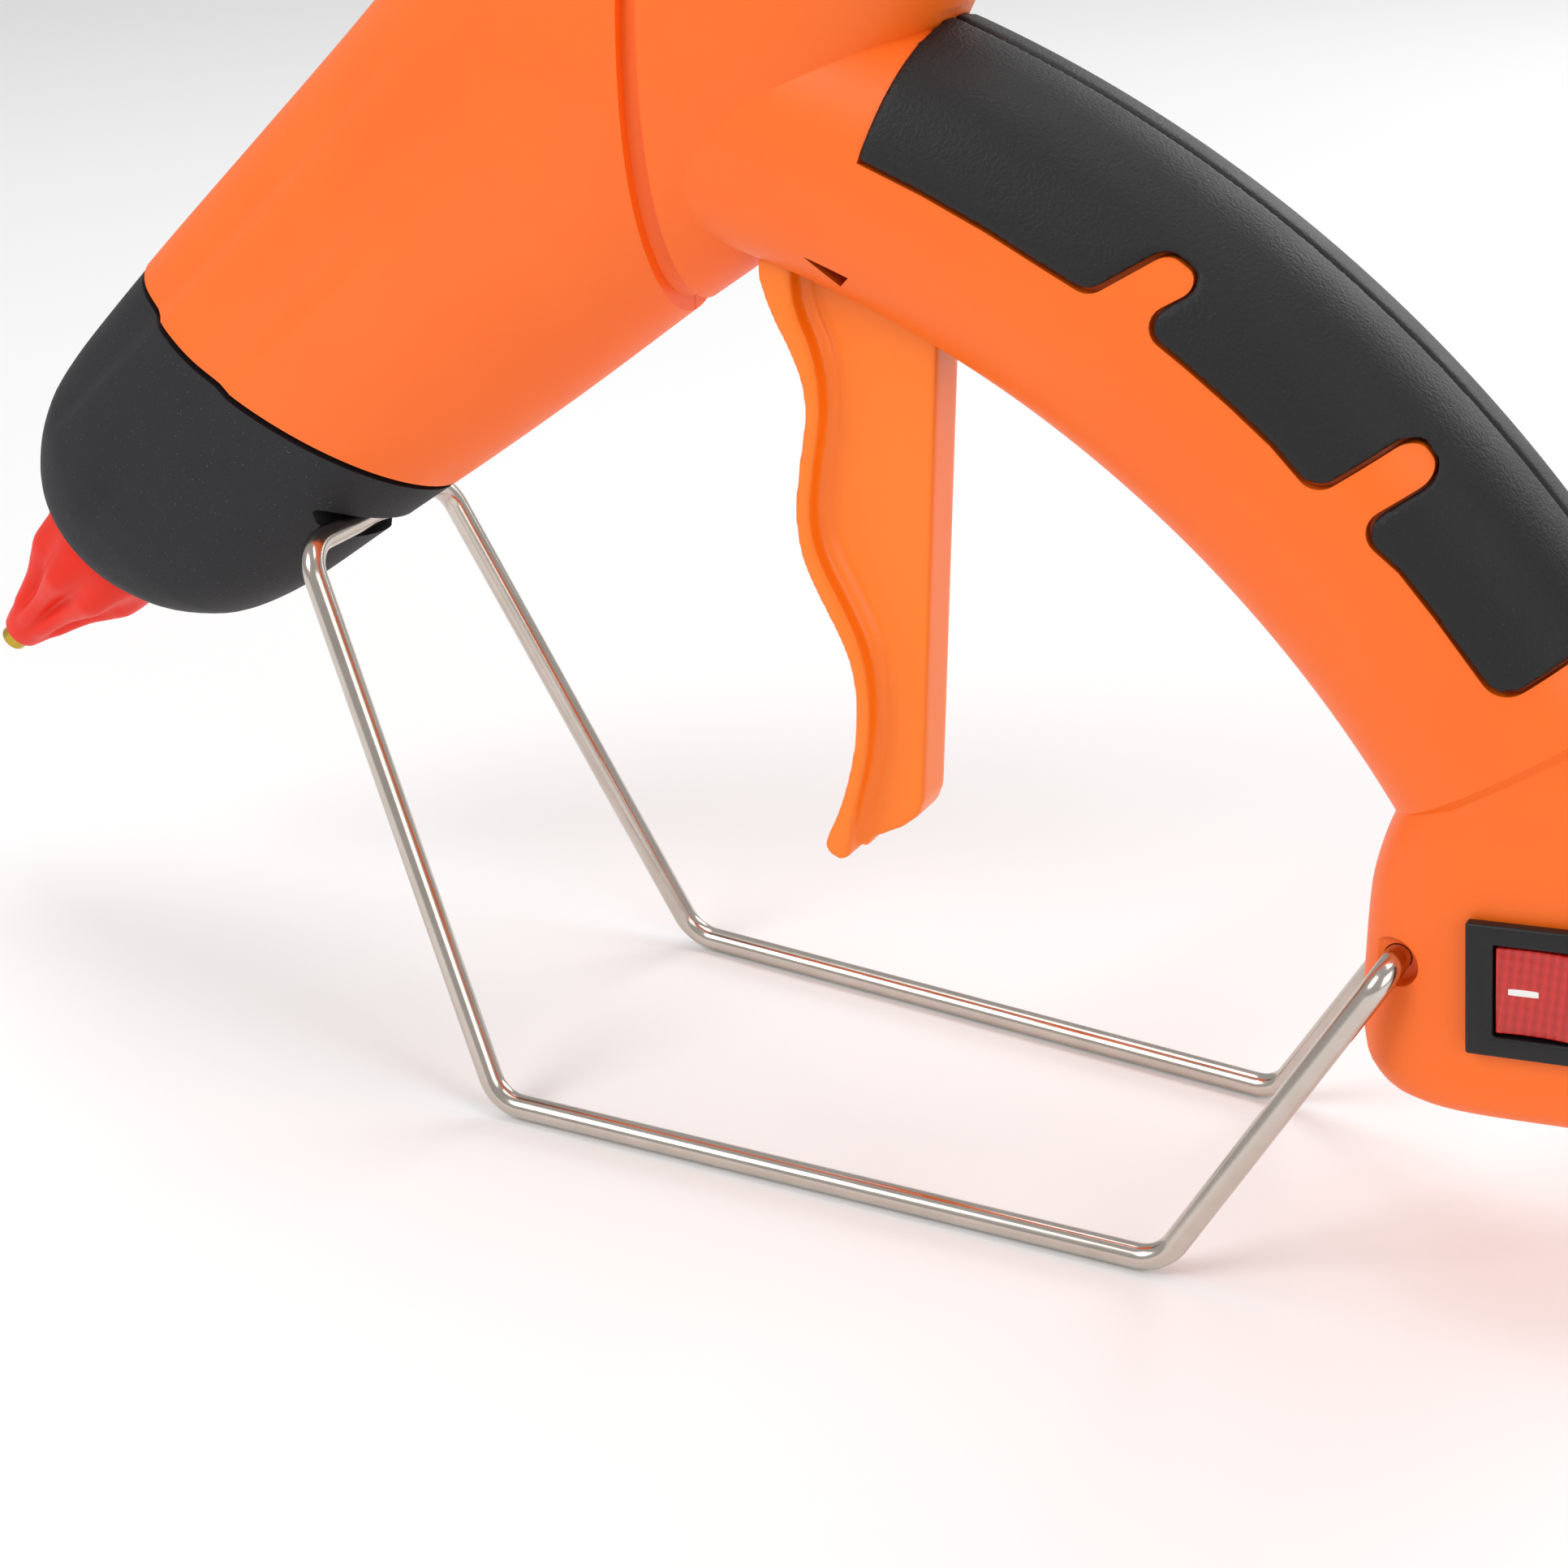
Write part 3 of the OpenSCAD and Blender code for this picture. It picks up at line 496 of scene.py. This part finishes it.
# %% [markdown]
# ## What is cut from the housing
# The cutters repeat the CAD's openings: the room that the trigger swings in, the bores for the stand
# wire and the glue stick, the switch window, the screw holes and the shallow bed of each grip.

# %% The outline of a grip, with two rounded tabs of the housing reaching into it
def fan(start, end, steps):
    """Arms of one length, turned evenly from the first to the last."""
    turn = start.angle(end)
    shares = [k / steps for k in range(steps + 1)]
    return [(start * math.sin(turn * (1 - share)) + end * math.sin(turn * share)) / math.sin(turn)
            for share in shares]


def rounded(corners, steps=7):
    """A line of (place, radius) corners with an arc at each corner that has a radius."""
    points = []
    for i, (p, radius) in enumerate(corners):
        p = Vector(p)
        before, after = Vector(corners[i - 1][0]), Vector(corners[(i + 1) % len(corners)][0])
        if not radius:
            points.append(tuple(p))
            continue
        to, on = (before - p).normalized(), (after - p).normalized()
        half = to.angle(on) / 2
        cut = min(radius / math.tan(half), 0.49 * min((before - p).length, (after - p).length))
        centre = p + (to + on).normalized() * (cut / math.cos(half))
        start, end = p + to * cut - centre, p + on * cut - centre
        points += [tuple(centre + arm) for arm in fan(start, end, steps)]
    return points


TAB_FOOT, TAB_TIP = 2.6, 2.2
GRIP_OUTSIDE = 190
GRIP_TOP, GRIP_END = 72, 39.2


def grip_outline(margin=0.0):
    swell = math.degrees(margin / 151)

    def at(radius, angle):
        turn = math.radians(angle)
        return (ARC_X + radius * math.cos(turn), ARC_Z + radius * math.sin(turn))

    corners = [(at(GRIP_OUTSIDE, GRIP_TOP), 0), (at(150.5 - margin, GRIP_TOP), 0)]
    corners += [(at(150.5 - margin, a), 0) for a in (69, 66, 63.5)]
    tabs = [(61.35, 59.85, 57.8, 59.2, 158.7), (49.75, 48.95, 47.05, 47.75, 161.1)]
    for high, end_high, end_low, low, end in tabs:
        corners += [(at(150.8 - margin, high - swell), TAB_FOOT),
                    (at(end - margin, end_high - swell), TAB_TIP),
                    (at(end - margin, end_low + swell), TAB_TIP),
                    (at(151.3 - margin, low + swell), TAB_FOOT)]
        if high > 55:
            corners += [(at(151.25 - margin, a), 0) for a in (56.6, 54.4, 52.2)]
    corners += [(at(152.2 - margin, a), 0) for a in (45.4, 43.2, 41.2)]
    corners += [(at(152.4 - margin, GRIP_END - swell), 3.0), (at(GRIP_OUTSIDE, GRIP_END - swell), 0)]
    return rounded(corners)


def grip_form(name, margin, rise, sink):
    stations = [[34, 1, 1], [76, 1, 1]]
    band = handle_form(name, rise, stations, step=0.8)
    carve(band, handle_form("grip_bed", -sink, stations, step=0.8))
    return carve(band, slab("grip_edge", grip_outline(margin), 40), how="INTERSECT")


# %% Carve the housing and split it into its two halves
SCREWS = [((-4.4, 89.2), 10.6), ((-3.2, 138.7), 12.0), ((63, 101), 14.0), ((99.3, 68.3), 13.6),
          ((112, 27), 13.9), ((134, 52), 13.3)]
SCREW_HOLE, HEAD_HOLE = 1.45, 3.0
HINGE = (104.6, 38.8)
STAND_BORE, STAND_ENTRY = 1.56, 2.75
BEARING_HALF = 11.6
SWING = math.radians(18)
FLANGE_HALF, WEB_HALF = 6.5, 3.25
WEB_REAR, WEB_TOP = 45.7, 111.5


def through(name, x, z, radius, low=-40, high=40, sides=32):
    return rod(name, spot(x, low, z), spot(x, high, z), radius, sides)


housing = barrel_form("housing", barrel_sections, flute=1.0)
carve(housing, ahead_of_seam(0))
groove = barrel_form("head_groove", barrel_sections, -1)
carve(groove, barrel_form("groove_floor", barrel_sections, 1.3))
carve(groove, slab("groove_band", [(14.2, 60), (16.6, 60), (16.6, 200), (14.2, 200)], 40),
      how="INTERSECT")
carve(housing, groove)
carve(housing, handle_form("handle"), foot_form("foot"), how="UNION")

rear_wall = rod("rear_wall", barrel(172.5, 0, 0), barrel(232, 0, 0), 60)
hollow = carve(barrel_form("hollow", barrel_sections, WALL, step=3, around=64), rear_wall)
carve(hollow, handle_form("hollow_handle", -WALL, step=2.5, around=64),
      foot_form("hollow_foot", WALL, 64), how="UNION")
bosses = [through("boss", x, z, 3.4, -26, 26) for (x, z), _ in SCREWS]
bosses.append(through("stand_boss", *HINGE, 4.2, -30, 30))
for boss in bosses:
    carve(hollow, boss)
carve(housing, hollow)

slot_rear = WEB_REAR + 34 * math.tan(SWING)
flange_room = [(26.4, 88), (39, 80), (37, 92), (35.2, 97), (35.2, 116), (30, 118), (24.6, 107),
               (23.6, 104.5), (25.6, 97)]
web_room = [(36, 78), (slot_rear + 0.3, 78), (slot_rear - 0.7, 96), (48, 118), (36, 118)]
cutters = [
    slab("flange_room", flange_room, FLANGE_HALF + 0.35),
    slab("web_room", web_room, WEB_HALF + 0.8),
    slab("fork_room", [(140, -37), (153, -37), (153, 8), (127, 8), (137.6, -20)], 11.9,
         place=barrel),
    rod("stick_hole", barrel(160, 0, 0), barrel(200, 0, 0), 9.1),
    rod("gland_hole", foot(38, 0, 15), foot(58, 0, 15), 4.3),
    through("stand_bore", *HINGE, STAND_BORE, -30, 30),
    through("stand_entry_near", *HINGE, STAND_ENTRY, -31, -BEARING_HALF),
    through("stand_entry_far", *HINGE, STAND_ENTRY, BEARING_HALF, 31),
    slab("switch_window", [(-9.7, -6.6), (9.7, -6.6), (9.7, 6.6), (-9.7, 6.6)], 14, middle=-16,
         place=on_switch),
]
for (x, z), half in SCREWS:
    cutters.append(through("screw_hole", x, z, SCREW_HOLE, -9, 20))
    cutters.append(through("screw_head_hole", x, z, HEAD_HOLE, half - 4, 30))
carve(housing, *cutters)
carve(housing, grip_form("grip_recess", 0.3, 2, 1.7))
right_half = twin(housing, "right_housing")
left_half = housing
left_half.name = "left_housing"
carve(left_half, beside_middle(-1))
carve(right_half, beside_middle(1))
dress(left_half, orange, "housing", "orange_shell", "left_shell")
dress(right_half, orange, "housing", "orange_shell", "right_shell")

# %% [markdown]
# ## The grips
# Soft black rubber is moulded into the beds. Rubber edges are round, so each grip is cut from the
# same form as its bed and then remeshed finely and smoothed, which rounds every edge at once.

# %% Two grips
whole_grip = grip_form("grips", -0.1, 0.55, 1.4)
far_grip = twin(whole_grip, "grip_far")
whole_grip.name = "grip_near"
for piece, side, node in ((whole_grip, -1, "grip_left"), (far_grip, 1, "grip_right")):
    carve(piece, beside_middle(side, 0.02))
    soften(piece, 0.5, 5)
    dress(piece, rubber, "housing", "grip_rubber", node, angle=60)

# %% [markdown]
# ## The nose cap
# The cap is a glass-filled moulding that stands the heat. It is rolled from its own sections with the
# same two flutes as the barrel, hollowed, and given the slot that the stand's wire clips into.

# %% Nose cap with its wire slot
SEAM_GAP = 0.9
cap = barrel_form("nose_cap_shell", cap_sections, flute=1.0, step=0.8)
in_cap = carve(barrel_form("cap_hollow", cap_sections[2:], WALL, step=2, around=64),
               slab("cap_block", [(54, -40), (68.6, -40), (68.6, -14.8), (54, -14.8)], 30,
                    place=barrel))
hook_slot = slab("hook_slot", [(61.0, -17.6), (62.2, -16.6), (62.9, -16.7), (63.7, -17.8), (64.7, -19.5),
                               (65.5, -21), (66.4, -22.6), (69, -27), (63.4, -27), (62.7, -22.9),
                               (61.5, -22.1), (60.7, -21.1), (60.5, -19)], 30,
                 place=barrel)
carve(cap, ahead_of_seam(-SEAM_GAP), how="INTERSECT")
carve(cap, in_cap, rod("nozzle_hole", barrel(20, 0, 0), barrel(32, 0, 0), 9.5, 96), hook_slot)
dress(cap, charcoal, "housing", "charcoal_cap", "nose_cap")

# %% [markdown]
# ## The nozzle's silicone sleeve
# The sleeve is a cone with eight soft flutes that keep fingers off the hot brass. One ring of points
# whose radius rises and falls eight times, drawn for each distance from the tip, makes it.

# %% Fluted sleeve
sleeve_profile = [
    [0.9, 2.7, 0], [2.4, 3.1, 0], [4, 3.5, 0.1], [6, 4.2, 0.55], [9, 5.0, 1.1], [12, 5.9, 1.6],
    [15.5, 7.4, 1.9], [19, 8.75, 1.5], [22.5, 9.1, 0.7], [26.5, 9.3, 0.1], [29, 9.3, 0]]
sleeve_inside = [[29, 8.25], [27.8, 8.25], [27.8, 6.43], [18, 6.43], [15, 3.23], [9, 3.23],
                 [1, 1.83], [0.9, 1.83]]
FLUTES = 8
turns = np.linspace(0, 2 * math.pi, 128, endpoint=False)
rings = []
for s, radius, depth in fill_in(sleeve_profile, 0.5):
    dip = (0.5 - 0.5 * np.cos(FLUTES * turns)) ** 1.6
    rings.append([barrel(s, r * math.sin(t), r * math.cos(t)) for r, t in zip(radius - depth * dip, turns)])
for s, radius in sleeve_inside:
    rings.append([barrel(s, radius * math.sin(t), radius * math.cos(t)) for t in turns])
rings.append(rings[0])
sleeve = rolled("silicone_sleeve", rings)
dress(sleeve, red_silicone, "housing", "silicone_red", "nozzle_sleeve", angle=50)

# %% [markdown]
# ## The trigger
# A wide flange for the fingers and a thin web behind it, moulded in one. Flat slabs are joined, with
# a thicker step where they meet, and then remeshed and smoothed: the steps turn into the soft
# fillets that a moulding needs to leave its tool.

# %% Trigger
PIVOT = barrel(146.7, 0, -30.4)
HUB_HALF = Vector((0, 11.2 * MM, 0))
front_edge = [
    (31.4, WEB_TOP), (24.6, 104), (26.4, 98), (30.2, 92), (31.5, 87), (30.5, 80), (30.1, 74),
    (31.2, 68.8), (34.3, 63.6), (37.2, 58.6), (38.3, 53.4), (38.1, 46.6), (36.4, 39.2),
    (34.8, 35.6), (34.5, 34), (35.4, 33), (36.8, 32.8)]
flange_back = [
    (37.8, 33.4), (38.2, 38.6), (39.9, 46.4), (40.1, 53.6), (39, 59.6), (36.2, 64.8), (33.1, 69.8),
    (32, 74.4), (32.4, 80), (33.4, 87), (32.4, 93.4), (29.6, 98.6), (29.4, 104)]


def softened_line(points, rounds=3):
    """Cuts the corners of an open line, so that it reads as one sweep."""
    for _ in range(rounds):
        cut = [points[0]]
        for (ax, az), (bx, bz) in zip(points, points[1:]):
            cut += [(0.75 * ax + 0.25 * bx, 0.75 * az + 0.25 * bz),
                    (0.25 * ax + 0.75 * bx, 0.25 * az + 0.75 * bz)]
        points = cut + [points[-1]]
    return points


front_line, back_line = softened_line(front_edge), softened_line(flange_back)
web_front = [(x + 0.8, z) for x, z in front_line if z > 36]
web_back = [(36.9, 33.5), (43, 37.0), (45, 38.8), (WEB_REAR, 41), (WEB_REAR, WEB_TOP)]
trigger = slab("finger_trigger", web_front + web_back, WEB_HALF)
step_back = [(x + 1.3, z + 0.4) for x, z in back_line]
parts = [
    slab("flange", [p for p in front_line if p[1] < 104.01] + back_line, FLANGE_HALF),
    slab("flange_fillet", [(x + 0.5, z) for x, z in front_line if 36 < z < 104] + step_back, 4.3),
    rod("hub", PIVOT - HUB_HALF, PIVOT + HUB_HALF, 4.8, 64),
]
for side in (-1, 1):
    parts.append(slab("arm", [(142.5, -30.4), (150.9, -30.4), (150.9, 5), (142.5, 5)], 1.1,
                      place=barrel, middle=side * 10.0))
carve(trigger, *parts, how="UNION")
carve(trigger, slab("fork_slot", [(144.85, -2.6), (148.55, -2.6), (148.55, 18), (144.85, 18)], 30,
                    place=barrel))
soften(trigger, 0.4, 12)
carve(trigger, rod("pivot_bore", PIVOT - 3 * HUB_HALF, PIVOT + 3 * HUB_HALF, 2.05, 64))
dress(trigger, trigger_orange, "trigger", "trigger_plastic", "trigger", angle=40)

# %% [markdown]
# ## The wire stand
# One 3 mm wire is bent eight times and nickel plated. A line with rounded corners, given a round
# section, is exactly how the real one is made, so a bevelled curve is turned into a mesh here.

# %% Bent wire
hook_low = barrel(62.7, 0, -20.2)
WIRE_RADIUS = 1.49
corners = [
    (spot(HINGE[0], -1, HINGE[1]), 0), (spot(HINGE[0], -15.8, HINGE[1]), 3.6),
    (spot(84.1, -21.3, 0), 5), (spot(0, -25.3, 0), 5), (hook_low + Vector((0, -15.1 * MM, 0)), 4.6),
    (hook_low + Vector((0, 15.1 * MM, 0)), 4.6), (spot(0, 25.3, 0), 5), (spot(84.1, 21.3, 0), 5),
    (spot(HINGE[0], 15.8, HINGE[1]), 3.6), (spot(HINGE[0], 1, HINGE[1]), 0)]
line = rounded([(place, radius * MM) for place, radius in corners], steps=12)
bpy.ops.object.select_all(action="DESELECT")
bpy.ops.curve.primitive_nurbs_path_add()
stand = bpy.context.object
stand.name = "bent_wire"
stand.data.splines.clear()
spline = stand.data.splines.new("POLY")
spline.points.add(len(line) - 1)
for point, place in zip(spline.points, line):
    point.co = (*place, 1)
stand.data.bevel_depth = WIRE_RADIUS * MM
stand.data.bevel_resolution = 6
stand.data.use_fill_caps = True
pick(stand)
bpy.ops.object.convert(target="MESH")
stand = settle(bpy.context.object)
edit(stand, lambda: bpy.ops.mesh.remove_doubles(threshold=1e-6), face_out)
dress(stand, nickel, "stand", "nickel_wire", "wire_stand", angle=50)

# %% [markdown]
# ## The switch
# The rocker sits in a well inside a flat bezel. The bezel is one box: its front face is inset and
# pushed in to make the well, and its back face is inset and pulled out to make the body.

# %% Switch bezel and body
def faces_where(test):
    def choose():
        bpy.ops.mesh.select_all(action="DESELECT")
        bpy.ops.object.mode_set(mode="OBJECT")
        for face in bpy.context.object.data.polygons:
            face.select = test(face.center)
        bpy.ops.object.mode_set(mode="EDIT")
    return choose


def push(v):
    return lambda: bpy.ops.mesh.extrude_region_move(TRANSFORM_OT_translate={"value": (0, v, 0)})


SHARP_EDGES = {"limit_method": "ANGLE", "angle_limit": math.radians(40)}
BEZEL_LONG, BEZEL_HIGH, BEZEL_THICK = 21, 15, 1.5
bezel = fresh("switch_bezel", bpy.ops.mesh.primitive_cube_add, size=1, location=(0, -15.35, 0))
bezel.scale = (BEZEL_LONG, BEZEL_THICK, BEZEL_HIGH)
settle(bezel)
edit(bezel,
     faces_where(lambda c: c.y < -16),
     lambda: bpy.ops.mesh.inset(thickness=2.25),
     lambda: bpy.ops.transform.resize(value=(15.3 / 16.5, 1, 1), center_override=(0, 0, 0)),
     push(0.5),
     push(9.5),
     faces_where(lambda c: c.y > -14.7 and abs(c.x) < 1 and abs(c.z) < 1 and c.y < -14.5),
     lambda: bpy.ops.mesh.inset(thickness=1.05),
     push(15.0),
     face_out)
finish_with(bezel, "BEVEL", width=0.35, segments=3, **SHARP_EDGES)
settle(bezel, switch_place)
dress(bezel, black_plastic, "housing", "black_plastic", "switch_housing", angle=40)

# %% [markdown]
# The rocker is clear red plastic, hollowed slightly across its face, and lit by a neon lamp inside.
# Its ribs are too fine to model, so they are a wave in the bump, and the same wave paints the colour
# lighter on the raised bands and darker between them: painted highlight and painted shade. The marks are a
# plain bar and ring.

# %% Rocker with its bar and ring marks
red_paint = Paint("rocker_red")
ribs = red_paint.node("TexWave", {"wave_type": "BANDS", "bands_direction": "X"},
                      {"Vector": red_paint.where, "Scale": 1 / (3.2 * MM), "Distortion": 0.0})
cross = red_paint.node("TexWave", {"wave_type": "BANDS", "bands_direction": "Z"},
                       {"Vector": red_paint.where, "Scale": 1 / (4.5 * MM), "Distortion": 0.0})
# The base colour follows the rib and cross bands: painted highlight on the raised bands, painted shade in
# the troughs.
red_paint.set(Base_Color=red_paint.blend(ribs * 0.6 + cross * 0.2, rgb(196, 14, 10), rgb(236, 40, 26)),
              Roughness=0.2 + ribs * 0.08, Normal=red_paint.bump(ribs + cross * 0.4, 0.08),
              Transmission_Weight=0.25, Coat_Weight=0.4)
mark_white = moulded("mark_white", rgb(240, 240, 236), rgb(228, 228, 224), 0.5, 0.2, 0.004)
ROCKER_AXIS_V = -11.6
ROCKER_REACH, ROCKER_HALF = 6.7, 4.9
ROCKER_TIP = math.radians(9)
MARK_U = 3.9


def rocker_face(u):
    return -4.2 - (u / ROCKER_REACH) ** 2


across = np.linspace(-ROCKER_REACH, ROCKER_REACH, 15)
outline = [(-6.8, -3.2)] + [(u, rocker_face(u)) for u in across]
outline += [(6.8, -3.2), (3.4, 1.6), (-3.4, 1.6)]
rocker = extruded("rocker", [(u, v, -ROCKER_HALF) for u, v in outline], (0, 0, 2 * ROCKER_HALF))
finish_with(rocker, "BEVEL", width=0.25, segments=2, **SHARP_EDGES)
mark_slope = math.atan(2 * MARK_U / ROCKER_REACH**2)
bar = fresh("rocker_bar", bpy.ops.mesh.primitive_cube_add, size=1,
            location=(-MARK_U, rocker_face(MARK_U), 0))
bar.scale = (3.2, 0.12, 0.75)
bar.rotation_euler = (0, 0, mark_slope)
finish_with(settle(bar), "BEVEL", width=0.05, segments=1)
circle = fresh("rocker_ring", bpy.ops.mesh.primitive_torus_add, major_segments=48, minor_segments=8,
               major_radius=1.45, minor_radius=0.3, location=(MARK_U, rocker_face(MARK_U), 0),
               rotation=(math.pi / 2, 0, -mark_slope))
circle.scale = (1, 1, 0.25)
settle(circle)
rocker_place = switch_place @ Matrix.Translation((0, ROCKER_AXIS_V, 0))
rocker_place = rocker_place @ Matrix.Rotation(-ROCKER_TIP, 4, "Z")
for piece in (rocker, bar, circle):
    settle(piece, rocker_place)
dress(rocker, red_paint.material, "rocker", "rocker_red", "switch_rocker")
for piece in (bar, circle):
    dress(piece, mark_white, "rocker", "rocker_red")

# %% [markdown]
# ## Finishes for the CAD parts that keep their shape
# Everything inside and a few plain turned parts are already right, so they only get a finish.

# %% Finish the remaining nodes
plain_finishes = {
    "nozzle": brass, "valve_seat": steel, "check_ball": steel, "check_spring": steel,
    "heating_chamber": cast_metal, "ptc_heater": ceramic, "upper_insulator": mica,
    "lower_insulator": mica, "thermal_fuse": contact_brass, "front_support": phenolic,
    "rear_support": phenolic, "inlet_sleeve": inner_silicone, "sleeve_clamp": steel,
    "stick_bush": black_plastic, "feed_carriage": white_plastic, "stick_gripper": steel,
    "gripper_pin": steel, "trigger_pin": steel, "return_spring": steel, "terminal_1": contact_brass,
    "terminal_2": contact_brass, "terminal_3": contact_brass, "terminal_block": white_plastic,
    "wiring": lead_cover, "cord_gland": rubber}
plain_finishes.update({f"screw_{i}": dark_steel for i in range(1, 7)})
for name, material in plain_finishes.items():
    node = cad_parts[name]
    node.data.materials.clear()
    node.data.materials.append(material)
print("finished CAD nodes:", len(plain_finishes))

# %% [markdown]
# ## Floor, light and camera
# A wide white floor and large soft lamps keep the shadows faint, and long bright panels give the wire
# and the satin plastic their clean streaks. The camera stands in front, to the left, a little above.

# %% Stage
floor_paint = Paint("pale_floor")
white, off_white = (0.93, 0.93, 0.93, 1), (0.9, 0.9, 0.9, 1)
floor_paint.set(Base_Color=floor_paint.blend(floor_paint.noise(300), white, off_white), Roughness=0.7)
floor = fresh("floor", bpy.ops.mesh.primitive_plane_add, size=6, location=(0, 0, -0.0002))
settle(floor)
floor.data.materials.append(floor_paint.material)

world = bpy.data.worlds.new("studio")
bpy.context.scene.world = world
world.use_nodes = True
world.node_tree.nodes["Background"].inputs["Color"].default_value = (1, 1, 1, 1)
world.node_tree.nodes["Background"].inputs["Strength"].default_value = 0.5


def lamp(name, place, aim, size, power):
    data = bpy.data.lights.new(name, "AREA")
    data.shape = "RECTANGLE"
    data.size, data.size_y = size
    data.energy = power
    made = bpy.data.objects.new(name, data)
    made.location = place
    made.rotation_mode = "QUATERNION"
    made.rotation_quaternion = (Vector(aim) - Vector(place)).to_track_quat("-Z", "Y")
    bpy.context.scene.collection.objects.link(made)


lamp("key", (-0.5, -0.75, 0.75), (0, 0, 0.07), (0.5, 0.5), 5)
lamp("fill", (0.8, -0.5, 0.45), (0.02, 0, 0.07), (0.6, 0.6), 2)
lamp("top", (0.05, 0.1, 0.95), (0, 0, 0.05), (0.9, 0.4), 3)
lamp("back", (0.3, 0.9, 0.5), (0, 0, 0.08), (0.7, 0.4), 3)
bpy.context.scene.view_settings.view_transform = "Standard"

# %% Camera
CAMERA_AT = (0.13747, -0.28209, 0.18084)
AZIMUTH, ELEVATION, ROLL = math.radians(26.429), math.radians(24.18), math.radians(0.455)
LENS = 65.76
camera_data = bpy.data.cameras.new("camera")
camera_data.sensor_width = 36
camera_data.lens = LENS
camera_data.clip_start = 0.01
camera = bpy.data.objects.new("camera", camera_data)
bpy.context.scene.collection.objects.link(camera)
look = Vector((-math.sin(AZIMUTH) * math.cos(ELEVATION), math.cos(AZIMUTH) * math.cos(ELEVATION),
               -math.sin(ELEVATION)))
camera.location = CAMERA_AT
camera.rotation_mode = "QUATERNION"
level = look.to_track_quat("-Z", "Y")
camera.rotation_quaternion = level @ Matrix.Rotation(ROLL, 3, "Z").to_quaternion()
bpy.context.scene.camera = camera
